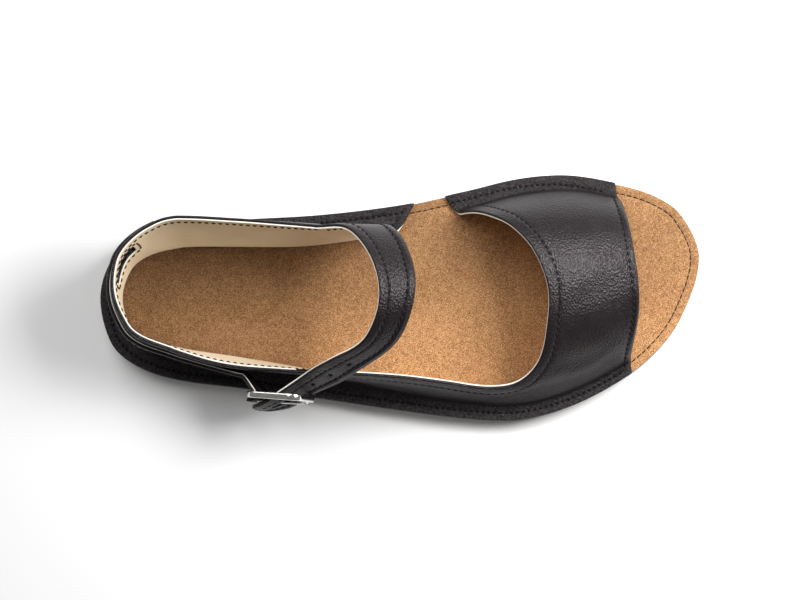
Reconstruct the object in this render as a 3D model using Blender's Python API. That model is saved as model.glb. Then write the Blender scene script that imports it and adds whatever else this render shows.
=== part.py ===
"""Right-foot barefoot sandal with an open toe, closed heel and buckled ankle strap.

The sole is a thin rubber plate under a suede footbed of the same outline.
The upper is one leather wall. Its pattern is drawn flat, as a cutter draws it, and is then
folded over the last. The pattern has two directions in millimetres:
  run    along the foot, counted round the heel from its centre back, lateral side positive
  girth  up the wall from the sole edge on that side, over the ridge of the foot if it is long
The model is in metres, +X to the toe, +Y to the medial side and +Z up.
"""

from math import cos, pi, radians, sin

import bmesh
import bpy
import numpy as np
from mathutils import Vector
from mathutils.geometry import delaunay_2d_cdt

MM = 0.001
CLEARANCE = 0.3

# Sole sizes in millimetres
OUTSOLE_THICKNESS = 4.0
FOOTBED_THICKNESS = 3.0
TOE_SPRING = 5.0
SPRING_START = 205.0
SPRING_LENGTH = 55.0
SOLE_STEP = 7.0
SOLE_GRID = 13.0

# Plan of the sole: x from the heel end, reach to the medial side, reach to the lateral side
OUTLINE = (
    (5.0, 18.0, 19.0),
    (15.0, 27.0, 28.2),
    (31.0, 32.2, 34.2),
    (60.0, 34.8, 38.2),
    (95.0, 36.9, 42.8),
    (130.0, 41.2, 47.9),
    (160.0, 47.6, 51.6),
    (182.0, 52.8, 52.0),
    (203.0, 54.3, 46.5),
    (224.0, 50.9, 36.0),
    (240.0, 46.0, 24.0),
    (252.0, 37.5, 8.0),
)
HEEL_END = (0.0, 1.0)
TOE_END = (260.0, 18.0)

# Outsole edge from the tread plate round the rim to the top: inset from the outline, height
OUTSOLE_EDGE = (
    (9.2, 0.0),
    (8.4, 0.8),
    (7.4, 0.8),
    (6.6, 0.0),
    (1.2, 0.4),
    (0.2, 1.2),
    (0.0, OUTSOLE_THICKNESS - 0.4),
    (0.4, OUTSOLE_THICKNESS),
)
FOOTBED_BASE = OUTSOLE_THICKNESS + CLEARANCE
FOOTBED_TOP = FOOTBED_BASE + FOOTBED_THICKNESS
FOOTBED_EDGE = (
    (0.7, FOOTBED_BASE),
    (0.3, FOOTBED_BASE + 0.5),
    (0.3, FOOTBED_TOP - 0.8),
    (1.0, FOOTBED_TOP),
)

# Leather sizes in millimetres
WALL = 2.0
PATTERN_GRID = 5.0
MEDIAL_EDGE_POINTS = 31
# Distances from the medial edge of the vamp at which the mesh follows the turn of the wall
MEDIAL_ROWS = (2.5, 5.0, 6.5, 8.0, 9.5, 11.5, 14.0)
MEDIAL_STEP = 2.5
BEND_RADIUS = 4.0
FLANGE_BASE = FOOTBED_TOP + CLEARANCE
LONGEST_GIRTH = 200.0
GIRTH_STEP = 0.05
NORMAL_REACH = 0.75

# Heel fan: the wall turns about this centre behind x = HEEL_CENTRE
HEEL_CENTRE = 36.0
HEEL_REFERENCE_RADIUS = 30.0
QUARTER_TURN = HEEL_REFERENCE_RADIUS * pi / 2.0
BACK_FLANGE = 6.0
# Between the medial and the lateral end of the fan: degrees from the centre back, outward lean
HEEL_LEAN = (
    (-82.0, 21.0),
    (-68.0, 17.0),
    (-45.0, 9.0),
    (0.0, -3.0),
    (30.0, -5.0),
    (50.0, -1.5),
)

# Sections of the last: x, ridge offset, ridge height, then for the lateral and the medial side
# the wall's outward lean in degrees and its flange width, and how full the wall is near its
# foot and near the ridge
LAST = (
    (36.0, -1.0, 105.0, 4.5, 21.3, 10.0, 6.4, 0.62, 1.00),
    (56.0, -0.5, 97.0, 13.0, 21.3, 9.4, 7.8, 0.61, 0.95),
    (80.0, 0.0, 88.0, 9.5, 19.5, 8.6, 9.3, 0.60, 0.90),
    (120.0, 2.0, 69.0, -7.0, 8.0, 6.0, 8.5, 0.55, 0.70),
    (160.0, 4.0, 54.0, -14.0, -8.0, 5.0, 6.0, 0.50, 0.60),
    (200.0, 8.0, 43.0, -18.0, -12.0, 4.8, 4.8, 0.50, 0.58),
    (240.0, 12.0, 31.0, -25.0, -20.0, 4.6, 4.6, 0.50, 0.55),
    (262.0, 15.0, 26.0, -28.0, -24.0, 5.0, 5.0, 0.50, 0.55),
)
(
    X,
    RIDGE_Y,
    RIDGE_Z,
    LATERAL_LEAN,
    MEDIAL_LEAN,
    LATERAL_FLANGE,
    MEDIAL_FLANGE,
    FOOT_PULL,
    CROWN_PULL,
) = range(9)

# Edges of the upper's pattern, each row a run and a girth
FLANGE_EDGE = 0.4
COLLAR_AND_THROAT = (
    (-106.0, 52.0),
    (-98.0, 50.0),
    (-80.0, 48.5),
    (-50.0, 48.5),
    (-25.0, 48.5),
    (0.0, 48.0),
    (30.0, 46.0),
    (60.0, 43.0),
    (90.0, 39.5),
    (115.0, 36.0),
    (140.0, 34.0),
    (161.0, 30.0),
    (177.0, 26.0),
    (190.5, 28.0),
    (199.5, 38.0),
    (203.0, 56.0),
    (203.0, 70.0),
    (197.5, 87.0),
    (188.7, 102.5),
    (179.5, 116.5),
    (170.0, 136.0),
)
THROAT_MEDIAL_RUN = 161.0
TOE_MEDIAL_RUN = 234.5
TOE_EDGE = (
    (236.7, 88.0),
    (238.7, 69.0),
    (241.7, 39.0),
    (239.5, 14.0),
)
TOE_LATERAL_RUN = 241.2
QUARTER_FRONT_RUN = -147.0
QUARTER_FRONT = (
    (-142.5, 8.0),
    (-137.5, 17.0),
    (-134.5, 26.0),
    (-133.5, 33.0),
)
# Window in the heel wall behind which the buckle strap runs: run and girth of its corners
HEEL_WINDOW = ((-26.0, 28.5), (-26.0, 39.5), (-7.0, 39.5), (-7.0, 28.5))

WINDOW_CORNER = 2.0

# Ankle strap from its root on the medial quarter over the foot and through the buckle:
# inner face at the rear edge, then at the front edge, both x, y, z
ANKLE_STRAP = (
    (107.5, 26.0, 54.0, 126.0, 27.0, 43.0),
    (116.0, 17.0, 62.0, 131.3, 20.0, 52.0),
    (121.0, 4.0, 67.0, 135.4, 5.5, 60.5),
    (120.6, -8.0, 66.5, 133.7, -8.0, 60.5),
    (114.5, -20.0, 61.0, 127.0, -20.5, 53.5),
    (101.0, -27.4, 53.0, 110.5, -32.0, 43.5),
    (94.5, -30.6, 47.0, 104.5, -35.4, 37.0),
    (87.4, -35.0, 41.4, 93.2, -40.0, 28.8),
    (76.5, -42.0, 36.3, 84.0, -45.3, 24.5),
    (70.2, -45.3, 32.7, 76.0, -46.7, 21.1),
    (67.7, -46.0, 28.5, 70.6, -46.4, 22.2),
)
STRAP_CELLS_ACROSS = 5
STRAP_STEP = 4.0
STRAP_ROOT_BLEND = 22.0
# A step of both edges together, as one point of six numbers
BOTH_EDGES = 2.0**0.5

# Buckle: a wire frame that stands off the lateral wall, its long side running down to the rear
BUCKLE_CENTRE = (79.4, -42.7, 30.0)
BUCKLE_HEADING = (-28.0, 2.3, 0.0)
BUCKLE_DROP = 25.0
BUCKLE_LENGTH = 24.0
BUCKLE_HEIGHT = 18.0
BUCKLE_CORNER = 4.0
BUCKLE_WIRE = 1.2
PRONG_WIRE = 0.7
PRONG_LIFT = BUCKLE_WIRE + CLEARANCE + PRONG_WIRE
# Degrees round the rear bar where the prong's hook starts and ends
PRONG_HOOK = (-100.0, 90.0)
# Places along the prong as shares of the half length, the last over the front bar
PRONG_SHARES = (0.4, -0.3, -1.0, -1.12)

# Buckle strap round the outside of the heel: run, upper and lower girth, lift off the last
BUCKLE_STRAP = (
    (-39.0, 40.5, 28.0, 2.6),
    (-20.0, 40.5, 28.0, 2.6),
    (0.0, 40.0, 27.5, 2.7),
    (22.0, 39.5, 27.0, 2.9),
    (42.0, 37.5, 25.0, 3.0),
    (62.0, 35.5, 23.0, 3.1),
    (75.0, 34.0, 21.5, 4.2),
)
BUCKLE_STRAP_THICKNESS = 1.7
BUCKLE_STRAP_CELLS = 5
# Degrees round the rear bar where the fold starts and ends
FOLD_TURN = (-140.0, -300.0)
FOLD_NARROWING = 0.8
FOLD_NOTCH_ROWS = 11
WIRE_SIDES = 8

# Points on a curve between two table rows, a bend, a wall, a buckle corner and a turn round a bar
SPLINE_POINTS = 24
BEND_POINTS = 7
WALL_POINTS = 29
CORNER_POINTS = 6
TURN_POINTS = 9
# Staggered fill: height of an equal-sided triangle, and how near to an edge a point may lie
ROW_SHARE = 3.0**0.5 / 2.0
EDGE_SHARE = 0.6
SAME_POINT = 1e-5
SHARP_ANGLE = 40.0


def hermite(t, start, slope_in, end, slope_out):
    """Cubic between two values with given slopes."""
    return (
        (2 * t**3 - 3 * t**2 + 1) * start
        + (t**3 - 2 * t**2 + t) * slope_in
        + (3 * t**2 - 2 * t**3) * end
        + (t**3 - t**2) * slope_out
    )


def smooth_table(stations, values, x):
    """Values of a table read smoothly between its stations."""
    slopes = np.gradient(values, stations)
    x = np.clip(x, stations[0], stations[-1])
    row = np.clip(np.searchsorted(stations, x) - 1, 0, len(stations) - 2)
    width = stations[row + 1] - stations[row]
    t = (x - stations[row]) / width
    return hermite(t, values[row], width * slopes[row], values[row + 1], width * slopes[row + 1])


def spline(points, step, closed=False):
    """Smooth curve through a few points, resampled to about the given step."""
    points = np.array(points, float)
    if closed:
        padded = np.vstack((points[-1], points, points[:2]))
    else:
        padded = np.vstack((2 * points[0] - points[1], points, 2 * points[-1] - points[-2]))
    dense = []
    for before, start, end, after in zip(padded, padded[1:], padded[2:], padded[3:]):
        span = np.linalg.norm(end - start)
        lead = np.linalg.norm(start - before)
        tail = np.linalg.norm(after - end)
        slope_in = span * (end - before) / (span + lead)
        slope_out = span * (after - start) / (span + tail)
        for t in np.linspace(0.0, 1.0, SPLINE_POINTS, endpoint=False):
            dense.append(hermite(t, start, slope_in, end, slope_out))
    dense.append(points[0] if closed else points[-1])
    return resample(np.array(dense), step)


def resample(path, step):
    """Even points along a polyline, both ends kept."""
    lengths = np.linalg.norm(np.diff(path, axis=0), axis=1)
    along = np.concatenate(([0.0], np.cumsum(lengths)))
    count = max(2, int(round(along[-1] / step)) + 1)
    marks = np.linspace(0.0, along[-1], count)
    return np.column_stack([np.interp(marks, along, column) for column in path.T])


def section_value(column, x):
    """One column of the LAST table, read smoothly between its rows."""
    table = np.array(LAST)
    return smooth_table(table[:, X], table[:, column], x)


def heel_lean(theta):
    """Outward lean of the heel wall, theta from centre back, lateral positive."""
    ends = (-90.0, LAST[0][MEDIAL_LEAN]), (90.0, LAST[0][LATERAL_LEAN])
    table = np.array((ends[0], *HEEL_LEAN, ends[1]))
    return smooth_table(table[:, 0], table[:, 1], np.degrees(theta))


def sole_outline():
    """Closed plan of the sole, from the heel end along the lateral side and back."""
    lateral = [(x, -reach) for x, _, reach in OUTLINE]
    medial = [(x, reach) for x, reach, _ in reversed(OUTLINE)]
    return spline([HEEL_END, *lateral, TOE_END, *medial], 1.0, closed=True)


PLAN = sole_outline()


def side_reach(x, lateral):
    """Distance from the middle line to the sole edge at x, on one side."""
    toe = int(np.argmax(PLAN[:, 0]))
    side = PLAN[: toe + 1] if lateral else PLAN[toe:][::-1]
    return np.abs(np.interp(x, side[:, 0], side[:, 1]))


def heel_reach(theta):
    """Distance from the heel centre to the sole edge, theta from centre back, lateral positive."""
    ridge = section_value(RIDGE_Y, HEEL_CENTRE)
    offset = PLAN[:-1] - (HEEL_CENTRE, ridge)
    angles = np.arctan2(-offset[:, 1], -offset[:, 0])
    order = np.argsort(angles)
    return np.interp(theta, angles[order], np.hypot(*offset[order].T))


def toe_spring(x):
    """Rise of the sole above the floor."""
    return TOE_SPRING * np.clip((x - SPRING_START) / SPRING_LENGTH, 0.0, None) ** 2


def half_section(reach, flange, lean, foot_pull, crown_pull, base, ridge_height):
    """Distance from the ridge and height, from the sole edge up to the ridge, row by row."""
    turn = np.linspace(0.0, 1.0, BEND_POINTS)[None, :] * (pi / 2.0 + np.radians(lean))[:, None]
    bend_x = (reach - flange)[:, None] - BEND_RADIUS * np.sin(turn)
    bend_z = base[:, None] + BEND_RADIUS * (1.0 - np.cos(turn))
    foot_x = bend_x[:, -1:]
    foot_z = bend_z[:, -1:]
    rise = foot_pull[:, None] * (ridge_height[:, None] - foot_z)
    pull_x = foot_x - rise * np.cos(turn[:, -1:])
    pull_z = foot_z + rise * np.sin(turn[:, -1:])
    crown_x = crown_pull[:, None] * foot_x
    t = np.linspace(0.0, 1.0, WALL_POINTS)[None, 1:]
    start, near, far, end = (1 - t) ** 3, 3 * t * (1 - t) ** 2, 3 * t**2 * (1 - t), t**3
    wall_x = start * foot_x + near * pull_x + far * crown_x
    wall_z = start * foot_z + near * pull_z + (far + end) * ridge_height[:, None]
    distance = np.hstack((reach[:, None], bend_x, wall_x))
    height = np.hstack((base[:, None], bend_z, wall_z))
    return distance, height


def last_point(run, girth):
    """Points of the last's surface at pattern positions, in millimetres."""
    run = np.atleast_1d(np.asarray(run, float))
    girth = np.atleast_1d(np.asarray(girth, float))
    lateral = run > 0.0
    theta = np.clip(run / HEEL_REFERENCE_RADIUS, -pi / 2.0, pi / 2.0)
    x = HEEL_CENTRE + np.clip(np.abs(run) - QUARTER_TURN, 0.0, None)
    fan = np.abs(run) < QUARTER_TURN
    back = np.where(fan, np.cos(theta) ** 2, 0.0)
    ridge = section_value(RIDGE_Y, x)
    lateral_reach = side_reach(x, True) + ridge
    medial_reach = side_reach(x, False) - ridge
    near_reach = np.where(fan, heel_reach(theta), np.where(lateral, lateral_reach, medial_reach))
    far_reach = np.where(lateral, medial_reach, lateral_reach)
    leans = section_value(LATERAL_LEAN, x), section_value(MEDIAL_LEAN, x)
    near_lean = np.where(fan, heel_lean(theta), np.where(lateral, *leans))
    far_lean = np.where(lateral, *leans[::-1])
    flanges = section_value(LATERAL_FLANGE, x), section_value(MEDIAL_FLANGE, x)
    near_flange = np.where(lateral, *flanges)
    far_flange = np.where(lateral, *flanges[::-1])
    near_flange = near_flange + back * (BACK_FLANGE - near_flange)
    base = FLANGE_BASE + toe_spring(x)
    shape = section_value(FOOT_PULL, x), section_value(CROWN_PULL, x), base, section_value(RIDGE_Z, x)
    near = half_section(near_reach, near_flange, near_lean, *shape)
    far = half_section(far_reach, far_flange, far_lean, *shape)
    distance = np.hstack((near[0], -far[0][:, -2::-1]))
    height = np.hstack((near[1], far[1][:, -2::-1]))
    steps = np.hypot(np.diff(distance), np.diff(height))
    along = np.hstack((np.zeros((len(run), 1)), np.cumsum(steps, axis=1)))
    rows = np.arange(len(run))
    index = np.clip((along <= girth[:, None]).sum(axis=1) - 1, 0, along.shape[1] - 2)
    part = (girth - along[rows, index]) / (along[rows, index + 1] - along[rows, index])
    d = distance[rows, index] + part * (distance[rows, index + 1] - distance[rows, index])
    z = height[rows, index] + part * (height[rows, index + 1] - height[rows, index])
    side = np.where(lateral, -1.0, 1.0)
    point_x = np.where(fan, x - d * np.cos(theta), x)
    point_y = np.where(fan, ridge - d * np.sin(theta), ridge + side * d)
    return np.column_stack((point_x, point_y, z))


def girth_to_ridge(run):
    """Girth from the sole edge to the ridge of the last."""
    marks = np.arange(0.0, LONGEST_GIRTH, GIRTH_STEP)
    points = last_point(np.full(len(marks), run), marks)
    return marks[int(np.argmax(points[:, 2]))]


def last_normal(run, girth):
    """Outward normals of the last's surface."""
    reach = NORMAL_REACH
    across = last_point(run + reach, girth) - last_point(run - reach, girth)
    up = last_point(run, girth + reach) - last_point(run, girth - reach)
    normal = np.cross(across, up)
    return normal / np.linalg.norm(normal, axis=1)[:, None]


def folded(pattern, lift):
    """Flat pattern points laid on the last at a height above its surface."""
    run, girth = np.asarray(pattern, float).T
    return last_point(run, girth) + last_normal(run, girth) * np.reshape(lift, (-1, 1))


def inside(points, loop):
    """Which points lie inside a closed loop."""
    hit = np.zeros(len(points), bool)
    for (x0, y0), (x1, y1) in zip(loop, np.roll(loop, -1, axis=0)):
        if y0 == y1:
            continue
        crosses = (y0 > points[:, 1]) != (y1 > points[:, 1])
        hit ^= crosses & (points[:, 0] < x0 + (points[:, 1] - y0) * (x1 - x0) / (y1 - y0))
    return hit


def flat_mesh(loops, grid, rows=None):
    """Triangles that fill the first loop through the rows' points, the other loops cut out."""
    corners = np.vstack(loops)
    edges = []
    for loop in loops:
        first = len(edges)
        edges += [(first + i, first + (i + 1) % len(loop)) for i in range(len(loop))]
    low, high = corners.min(axis=0), corners.max(axis=0)
    levels = np.arange(low[1] + grid / 2, high[1], grid * ROW_SHARE)
    fill = []
    for number, y in enumerate(levels):
        xs = np.arange(low[0] + grid / 2 + (number % 2) * grid / 2, high[0], grid)
        fill.append(np.column_stack((xs, np.full(len(xs), y))))
    fill = np.vstack(fill)
    keep = inside(fill, loops[0])
    for hole in loops[1:]:
        keep &= ~inside(fill, hole)
    fill = fill[keep]
    if rows is not None:
        corners = np.vstack((corners, rows[inside(rows, loops[0])]))
    gaps = np.array([np.hypot(*(corners - point).T).min() for point in fill])
    fill = fill[gaps > EDGE_SHARE * grid]
    points = [Vector(point) for point in np.vstack((corners, fill))]
    verts, _, faces, *_ = delaunay_2d_cdt(points, edges, [], 1, SAME_POINT)
    flat = np.array([tuple(v) for v in verts])
    middles = flat[np.array(faces)].mean(axis=1)
    solid = np.ones(len(faces), bool)
    for hole in loops[1:]:
        solid &= ~inside(middles, hole)
    return flat, [face for face, kept in zip(faces, solid) if kept]


def material(name, color, roughness, metallic=0.0):
    """Plain surface for one slot."""
    surface = bpy.data.materials.new(name)
    surface.use_nodes = True
    shader = surface.node_tree.nodes["Principled BSDF"]
    shader.inputs["Base Color"].default_value = (*color, 1.0)
    shader.inputs["Roughness"].default_value = roughness
    shader.inputs["Metallic"].default_value = metallic
    return surface


def add_object(name, points, faces, surface, root):
    """One closed body from points in millimetres."""
    mesh = bpy.data.meshes.new(name)
    mesh.from_pydata([tuple(p) for p in np.asarray(points) * MM], [], faces)
    shape = bmesh.new()
    shape.from_mesh(mesh)
    bmesh.ops.recalc_face_normals(shape, faces=shape.faces)
    bmesh.ops.triangulate(shape, faces=shape.faces)
    shape.to_mesh(mesh)
    shape.free()
    mesh.shade_smooth()
    mesh.set_sharp_from_angle(angle=radians(SHARP_ANGLE))
    mesh.materials.append(surface)
    body = bpy.data.objects.new(name, mesh)
    bpy.context.scene.collection.objects.link(body)
    body.parent = root
    return body


def sole_slab(name, edge, surface, root):
    """A layer of the sole: an edge profile run round the outline, closed below and above."""
    loop = resample(PLAN, SOLE_STEP)[:-1]
    tangent = np.roll(loop, -1, axis=0) - np.roll(loop, 1, axis=0)
    inward = np.column_stack((-tangent[:, 1], tangent[:, 0])) / np.hypot(*tangent.T)[:, None]
    count = len(loop)
    points, faces = [], []
    for inset, height in edge:
        ring = loop + inward * inset
        points.append(np.column_stack((ring, height + toe_spring(ring[:, 0]))))
    for ring in range(len(edge) - 1):
        for i in range(count):
            j = (i + 1) % count
            low, high = ring * count, (ring + 1) * count
            faces.append((low + i, low + j, high + j, high + i))
    total = count * len(edge)
    for ring in (0, len(edge) - 1):
        inset, height = edge[ring]
        flat, cap = flat_mesh([loop + inward * inset], SOLE_GRID)
        extra = flat[count:]
        points.append(np.column_stack((extra, height + toe_spring(extra[:, 0]))))
        for face in cap:
            faces.append(tuple(ring * count + v if v < count else total + v - count for v in face))
        total += len(extra)
    return add_object(name, np.vstack(points), faces, surface, root)


def full_girth(run):
    """Girth of the whole section, from the sole edge on one side to the other."""
    return girth_to_ridge(run) + girth_to_ridge(-run)


def medial_rows():
    """Points beside the medial edge of the vamp, where the wall turns up from its flange."""
    runs = np.arange(THROAT_MEDIAL_RUN + MEDIAL_STEP, TOE_MEDIAL_RUN - MEDIAL_STEP / 2.0, MEDIAL_STEP)
    edge = np.array([full_girth(run) for run in runs])
    return np.vstack([np.column_stack((runs, edge - distance)) for distance in MEDIAL_ROWS])


def upper_pattern():
    """Outline of the upper without its strap, and the index of the strap root's first point."""
    throat = spline(COLLAR_AND_THROAT, PATTERN_GRID)
    throat_end = (THROAT_MEDIAL_RUN, full_girth(THROAT_MEDIAL_RUN) - FLANGE_EDGE)
    toe_start = (TOE_MEDIAL_RUN, full_girth(TOE_MEDIAL_RUN) - FLANGE_EDGE)
    toe_end = (TOE_LATERAL_RUN, FLANGE_EDGE)
    medial_runs = np.linspace(THROAT_MEDIAL_RUN, TOE_MEDIAL_RUN, MEDIAL_EDGE_POINTS)
    medial = [(run, full_girth(run) - FLANGE_EDGE) for run in medial_runs]
    toe = spline([toe_start, *TOE_EDGE, toe_end], PATTERN_GRID)
    feet = resample(np.array((toe_end, (QUARTER_FRONT_RUN, FLANGE_EDGE))), PATTERN_GRID)
    front = spline([feet[-1], *QUARTER_FRONT], PATTERN_GRID)
    steps = np.linspace(0.0, 1.0, STRAP_CELLS_ACROSS + 1)[:, None]
    root = front[-1] + steps * (throat[0] - front[-1])
    throat = np.vstack((throat, spline([throat[-1], throat_end], PATTERN_GRID)[1:]))
    parts = [throat[:-1], medial[:-1], toe[:-1], feet[:-1], front[:-1], root[:-1]]
    outline = np.vstack(parts)
    return outline, len(outline) - STRAP_CELLS_ACROSS


def rounded_window(corners, radius):
    """Closed loop with each corner cut by a short slant."""
    corners = np.array(corners)
    loop = []
    for before, corner, after in zip(np.roll(corners, 1, axis=0), corners, np.roll(corners, -1, axis=0)):
        for other in (before, after):
            reach = (other - corner) / np.linalg.norm(other - corner)
            loop.append(corner + reach * radius)
    return np.array(loop)


def grid_normals(grid):
    """Normals of a grid of points, rows along and columns across."""
    along = np.gradient(grid, axis=0)
    across = np.gradient(grid, axis=1)
    normal = np.cross(along, across)
    return normal / np.linalg.norm(normal, axis=2)[:, :, None]


def shell_faces(inner, outer, holes, closed_start=True):
    """Faces of a ribbon between two grids of vertex numbers, with some cells left open."""
    rows, columns = inner.shape
    cells = {(i, j) for i in range(rows - 1) for j in range(columns - 1)} - set(holes)
    faces = []
    for i, j in sorted(cells):
        quad = ((i, j), (i + 1, j), (i + 1, j + 1), (i, j + 1))
        faces.append(tuple(int(inner[v]) for v in quad))
        faces.append(tuple(int(outer[v]) for v in reversed(quad)))
        for (a, b), step in zip(zip(quad, quad[1:] + quad[:1]), ((0, -1), (1, 0), (0, 1), (-1, 0))):
            beside = (i + step[0], j + step[1])
            open_start = i == 0 and step == (-1, 0) and not closed_start
            if beside not in cells and not open_start:
                faces.append(tuple(int(n) for n in (inner[b], inner[a], outer[a], outer[b])))
    return faces


def strap_rows(root):
    """Rows across the ankle strap's inner face, from its root line to its tip."""
    path = spline([np.hstack((root[0], root[-1])), *ANKLE_STRAP], STRAP_STEP * BOTH_EDGES)
    shares = np.linspace(0.0, 1.0, STRAP_CELLS_ACROSS + 1)[None, :, None]
    rows = path[:, None, :3] * (1.0 - shares) + path[:, None, 3:] * shares
    fade = np.clip(1.0 - np.arange(len(rows)) * STRAP_STEP / STRAP_ROOT_BLEND, 0.0, 1.0) ** 2
    return rows + fade[:, None, None] * (root - rows[0])


def prong_slot(grid):
    """Cells of the strap's middle column that the prong passes through."""
    middle = STRAP_CELLS_ACROSS // 2
    place = (grid[:, middle : middle + 2].mean(axis=1) - BUCKLE_CENTRE) @ buckle_axes().T
    room = PRONG_WIRE + 2.0 * CLEARANCE
    above = place[:, 2] + WALL > PRONG_LIFT - room
    below = place[:, 2] < PRONG_LIFT + room
    within = np.abs(place[:, 0]) < BUCKLE_LENGTH / 2.0
    met = above & below & within
    return [(i, middle) for i in range(len(met) - 1) if met[i] or met[i + 1]]


def make_upper(surface, root_object):
    """The leather wall folded on the last, with the ankle strap grown out of its root line."""
    outline, root_first = upper_pattern()
    loops = [outline, rounded_window(HEEL_WINDOW, WINDOW_CORNER)]
    flat, faces = flat_mesh(loops, PATTERN_GRID, medial_rows())
    inner = folded(flat, np.zeros(len(flat)))
    outer = folded(flat, np.full(len(flat), WALL))
    root = np.append(np.arange(root_first, len(outline)), 0)[::-1]
    grid = strap_rows(inner[root])
    thick = WALL * grid_normals(grid)
    thick[0] = outer[root] - inner[root]
    count = len(flat)
    rows, columns = grid.shape[:2]
    points = np.vstack((inner, outer, grid[1:].reshape(-1, 3), (grid + thick)[1:].reshape(-1, 3)))
    number = np.arange((rows - 1) * columns).reshape(rows - 1, columns)
    inner_number = np.vstack((root, 2 * count + number))
    outer_number = np.vstack((count + root, 2 * count + number.size + number))
    slot = prong_slot(grid)
    shell = [tuple(face) for face in faces]
    shell += [tuple(count + v for v in reversed(face)) for face in faces]
    first = 0
    for loop in loops:
        for i in range(len(loop)):
            a, b = first + i, first + (i + 1) % len(loop)
            if not (loop is outline and a >= root_first):
                shell.append((a, b, count + b, count + a))
        first += len(loop)
    shell += shell_faces(inner_number, outer_number, slot, closed_start=False)
    return add_object("upper", points, shell, surface, root_object)


def buckle_axes():
    """The buckle's directions as rows: down the strap, up the wall and off the wall."""
    heading = np.array(BUCKLE_HEADING) / np.linalg.norm(BUCKLE_HEADING)
    up = np.array((0.0, 0.0, 1.0))
    drop = radians(BUCKLE_DROP)
    down_strap = cos(drop) * heading - sin(drop) * up
    up_wall = sin(drop) * heading + cos(drop) * up
    return np.array((down_strap, up_wall, np.cross(up, heading)))


def buckle_point(*place):
    """A point in the buckle's own directions, from its centre."""
    return np.array(BUCKLE_CENTRE) + np.array(place) @ buckle_axes()


def tube(name, path, radius, closed, surface, root_object):
    """Round wire along a path of points in the buckle's directions."""
    path = np.array(path, float)
    if closed:
        heading = np.roll(path, -1, axis=0) - np.roll(path, 1, axis=0)
    else:
        heading = np.gradient(path, axis=0)
    heading /= np.linalg.norm(heading, axis=1)[:, None]
    level = np.array((0.0, 1.0, 0.0)) if not closed else np.array((0.0, 0.0, 1.0))
    side = np.cross(heading, level)
    angles = np.arange(WIRE_SIDES) * 2.0 * pi / WIRE_SIDES
    rings = path[:, None] + radius * (
        np.cos(angles)[None, :, None] * side[:, None] + np.sin(angles)[None, :, None] * level
    )
    points = [buckle_point(*p) for p in rings.reshape(-1, 3)]
    faces = []
    count = len(path)
    for i in range(count if closed else count - 1):
        for j in range(WIRE_SIDES):
            k = (j + 1) % WIRE_SIDES
            low, high = i * WIRE_SIDES, (i + 1) % count * WIRE_SIDES
            faces.append((low + j, low + k, high + k, high + j))
    if not closed:
        faces.append(tuple(range(WIRE_SIDES)))
        faces.append(tuple(range((count - 1) * WIRE_SIDES, count * WIRE_SIDES)))
    return add_object(name, points, faces, surface, root_object)


def make_buckle(surface, root_object):
    """The buckle's frame with round corners, and the prong hooked on its rear bar."""
    corner_x = BUCKLE_LENGTH / 2.0 - BUCKLE_CORNER
    corner_y = BUCKLE_HEIGHT / 2.0 - BUCKLE_CORNER
    loop = []
    for quarter, (sx, sy) in enumerate(((1, 1), (-1, 1), (-1, -1), (1, -1))):
        for angle in np.linspace(0.0, pi / 2.0, CORNER_POINTS) + quarter * pi / 2.0:
            x = sx * corner_x + BUCKLE_CORNER * cos(angle)
            y = sy * corner_y + BUCKLE_CORNER * sin(angle)
            loop.append((x, y, 0.0))
    tube("buckle_frame", loop, BUCKLE_WIRE, True, surface, root_object)
    hook = PRONG_LIFT
    rear = BUCKLE_LENGTH / 2.0
    turn = np.radians(np.linspace(*PRONG_HOOK, TURN_POINTS))
    path = [(rear + hook * cos(a), 0.0, hook * sin(a)) for a in turn]
    path += [(share * rear, 0.0, hook) for share in PRONG_SHARES]
    tube("buckle_prong", path, PRONG_WIRE, False, surface, root_object)


def buckle_strap_rows():
    """Rows across the buckle strap's inner face, then round the buckle's rear bar."""
    table = spline(BUCKLE_STRAP, STRAP_STEP)
    lower = folded(table[:, [0, 2]], table[:, 3])
    upper = folded(table[:, [0, 1]], table[:, 3])
    half = (BUCKLE_STRAP[0][1] - BUCKLE_STRAP[0][2]) / 2.0 - FOLD_NARROWING
    rear = BUCKLE_LENGTH / 2.0
    bend = BUCKLE_WIRE + CLEARANCE + BUCKLE_STRAP_THICKNESS
    turn = np.radians(np.linspace(*FOLD_TURN, TURN_POINTS))
    fold = [(rear + bend * cos(a), bend * sin(a)) for a in turn]
    low_fold = [buckle_point(along, -half, out) for along, out in fold]
    high_fold = [buckle_point(along, half, out) for along, out in fold]
    wall = np.hstack((lower, upper))
    folded_end = np.hstack((low_fold, high_fold))
    crossing = spline((wall[-2], wall[-1], folded_end[0], folded_end[1]), STRAP_STEP)
    leaves = int(np.argmin(np.linalg.norm(crossing - wall[-1], axis=1))) + 1
    meets = int(np.argmin(np.linalg.norm(crossing - folded_end[0], axis=1)))
    edges = np.vstack((wall, crossing[leaves:meets], folded_end))
    shares = np.linspace(0.0, 1.0, BUCKLE_STRAP_CELLS + 1)[None, :, None]
    return edges[:, None, :3] * (1.0 - shares) + edges[:, None, 3:] * shares


def make_buckle_strap(surface, root_object):
    """The strap round the heel, folded over the rear bar and notched there for the prong."""
    grid = buckle_strap_rows()
    thick = BUCKLE_STRAP_THICKNESS * grid_normals(grid)
    rows, columns = grid.shape[:2]
    number = np.arange(rows * columns).reshape(rows, columns)
    middle = BUCKLE_STRAP_CELLS // 2
    notch = [(i, middle) for i in range(rows - FOLD_NOTCH_ROWS, rows - 1)]
    faces = shell_faces(number, rows * columns + number, notch)
    points = np.vstack((grid.reshape(-1, 3), (grid + thick).reshape(-1, 3)))
    return add_object("buckle_strap", points, faces, surface, root_object)


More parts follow.
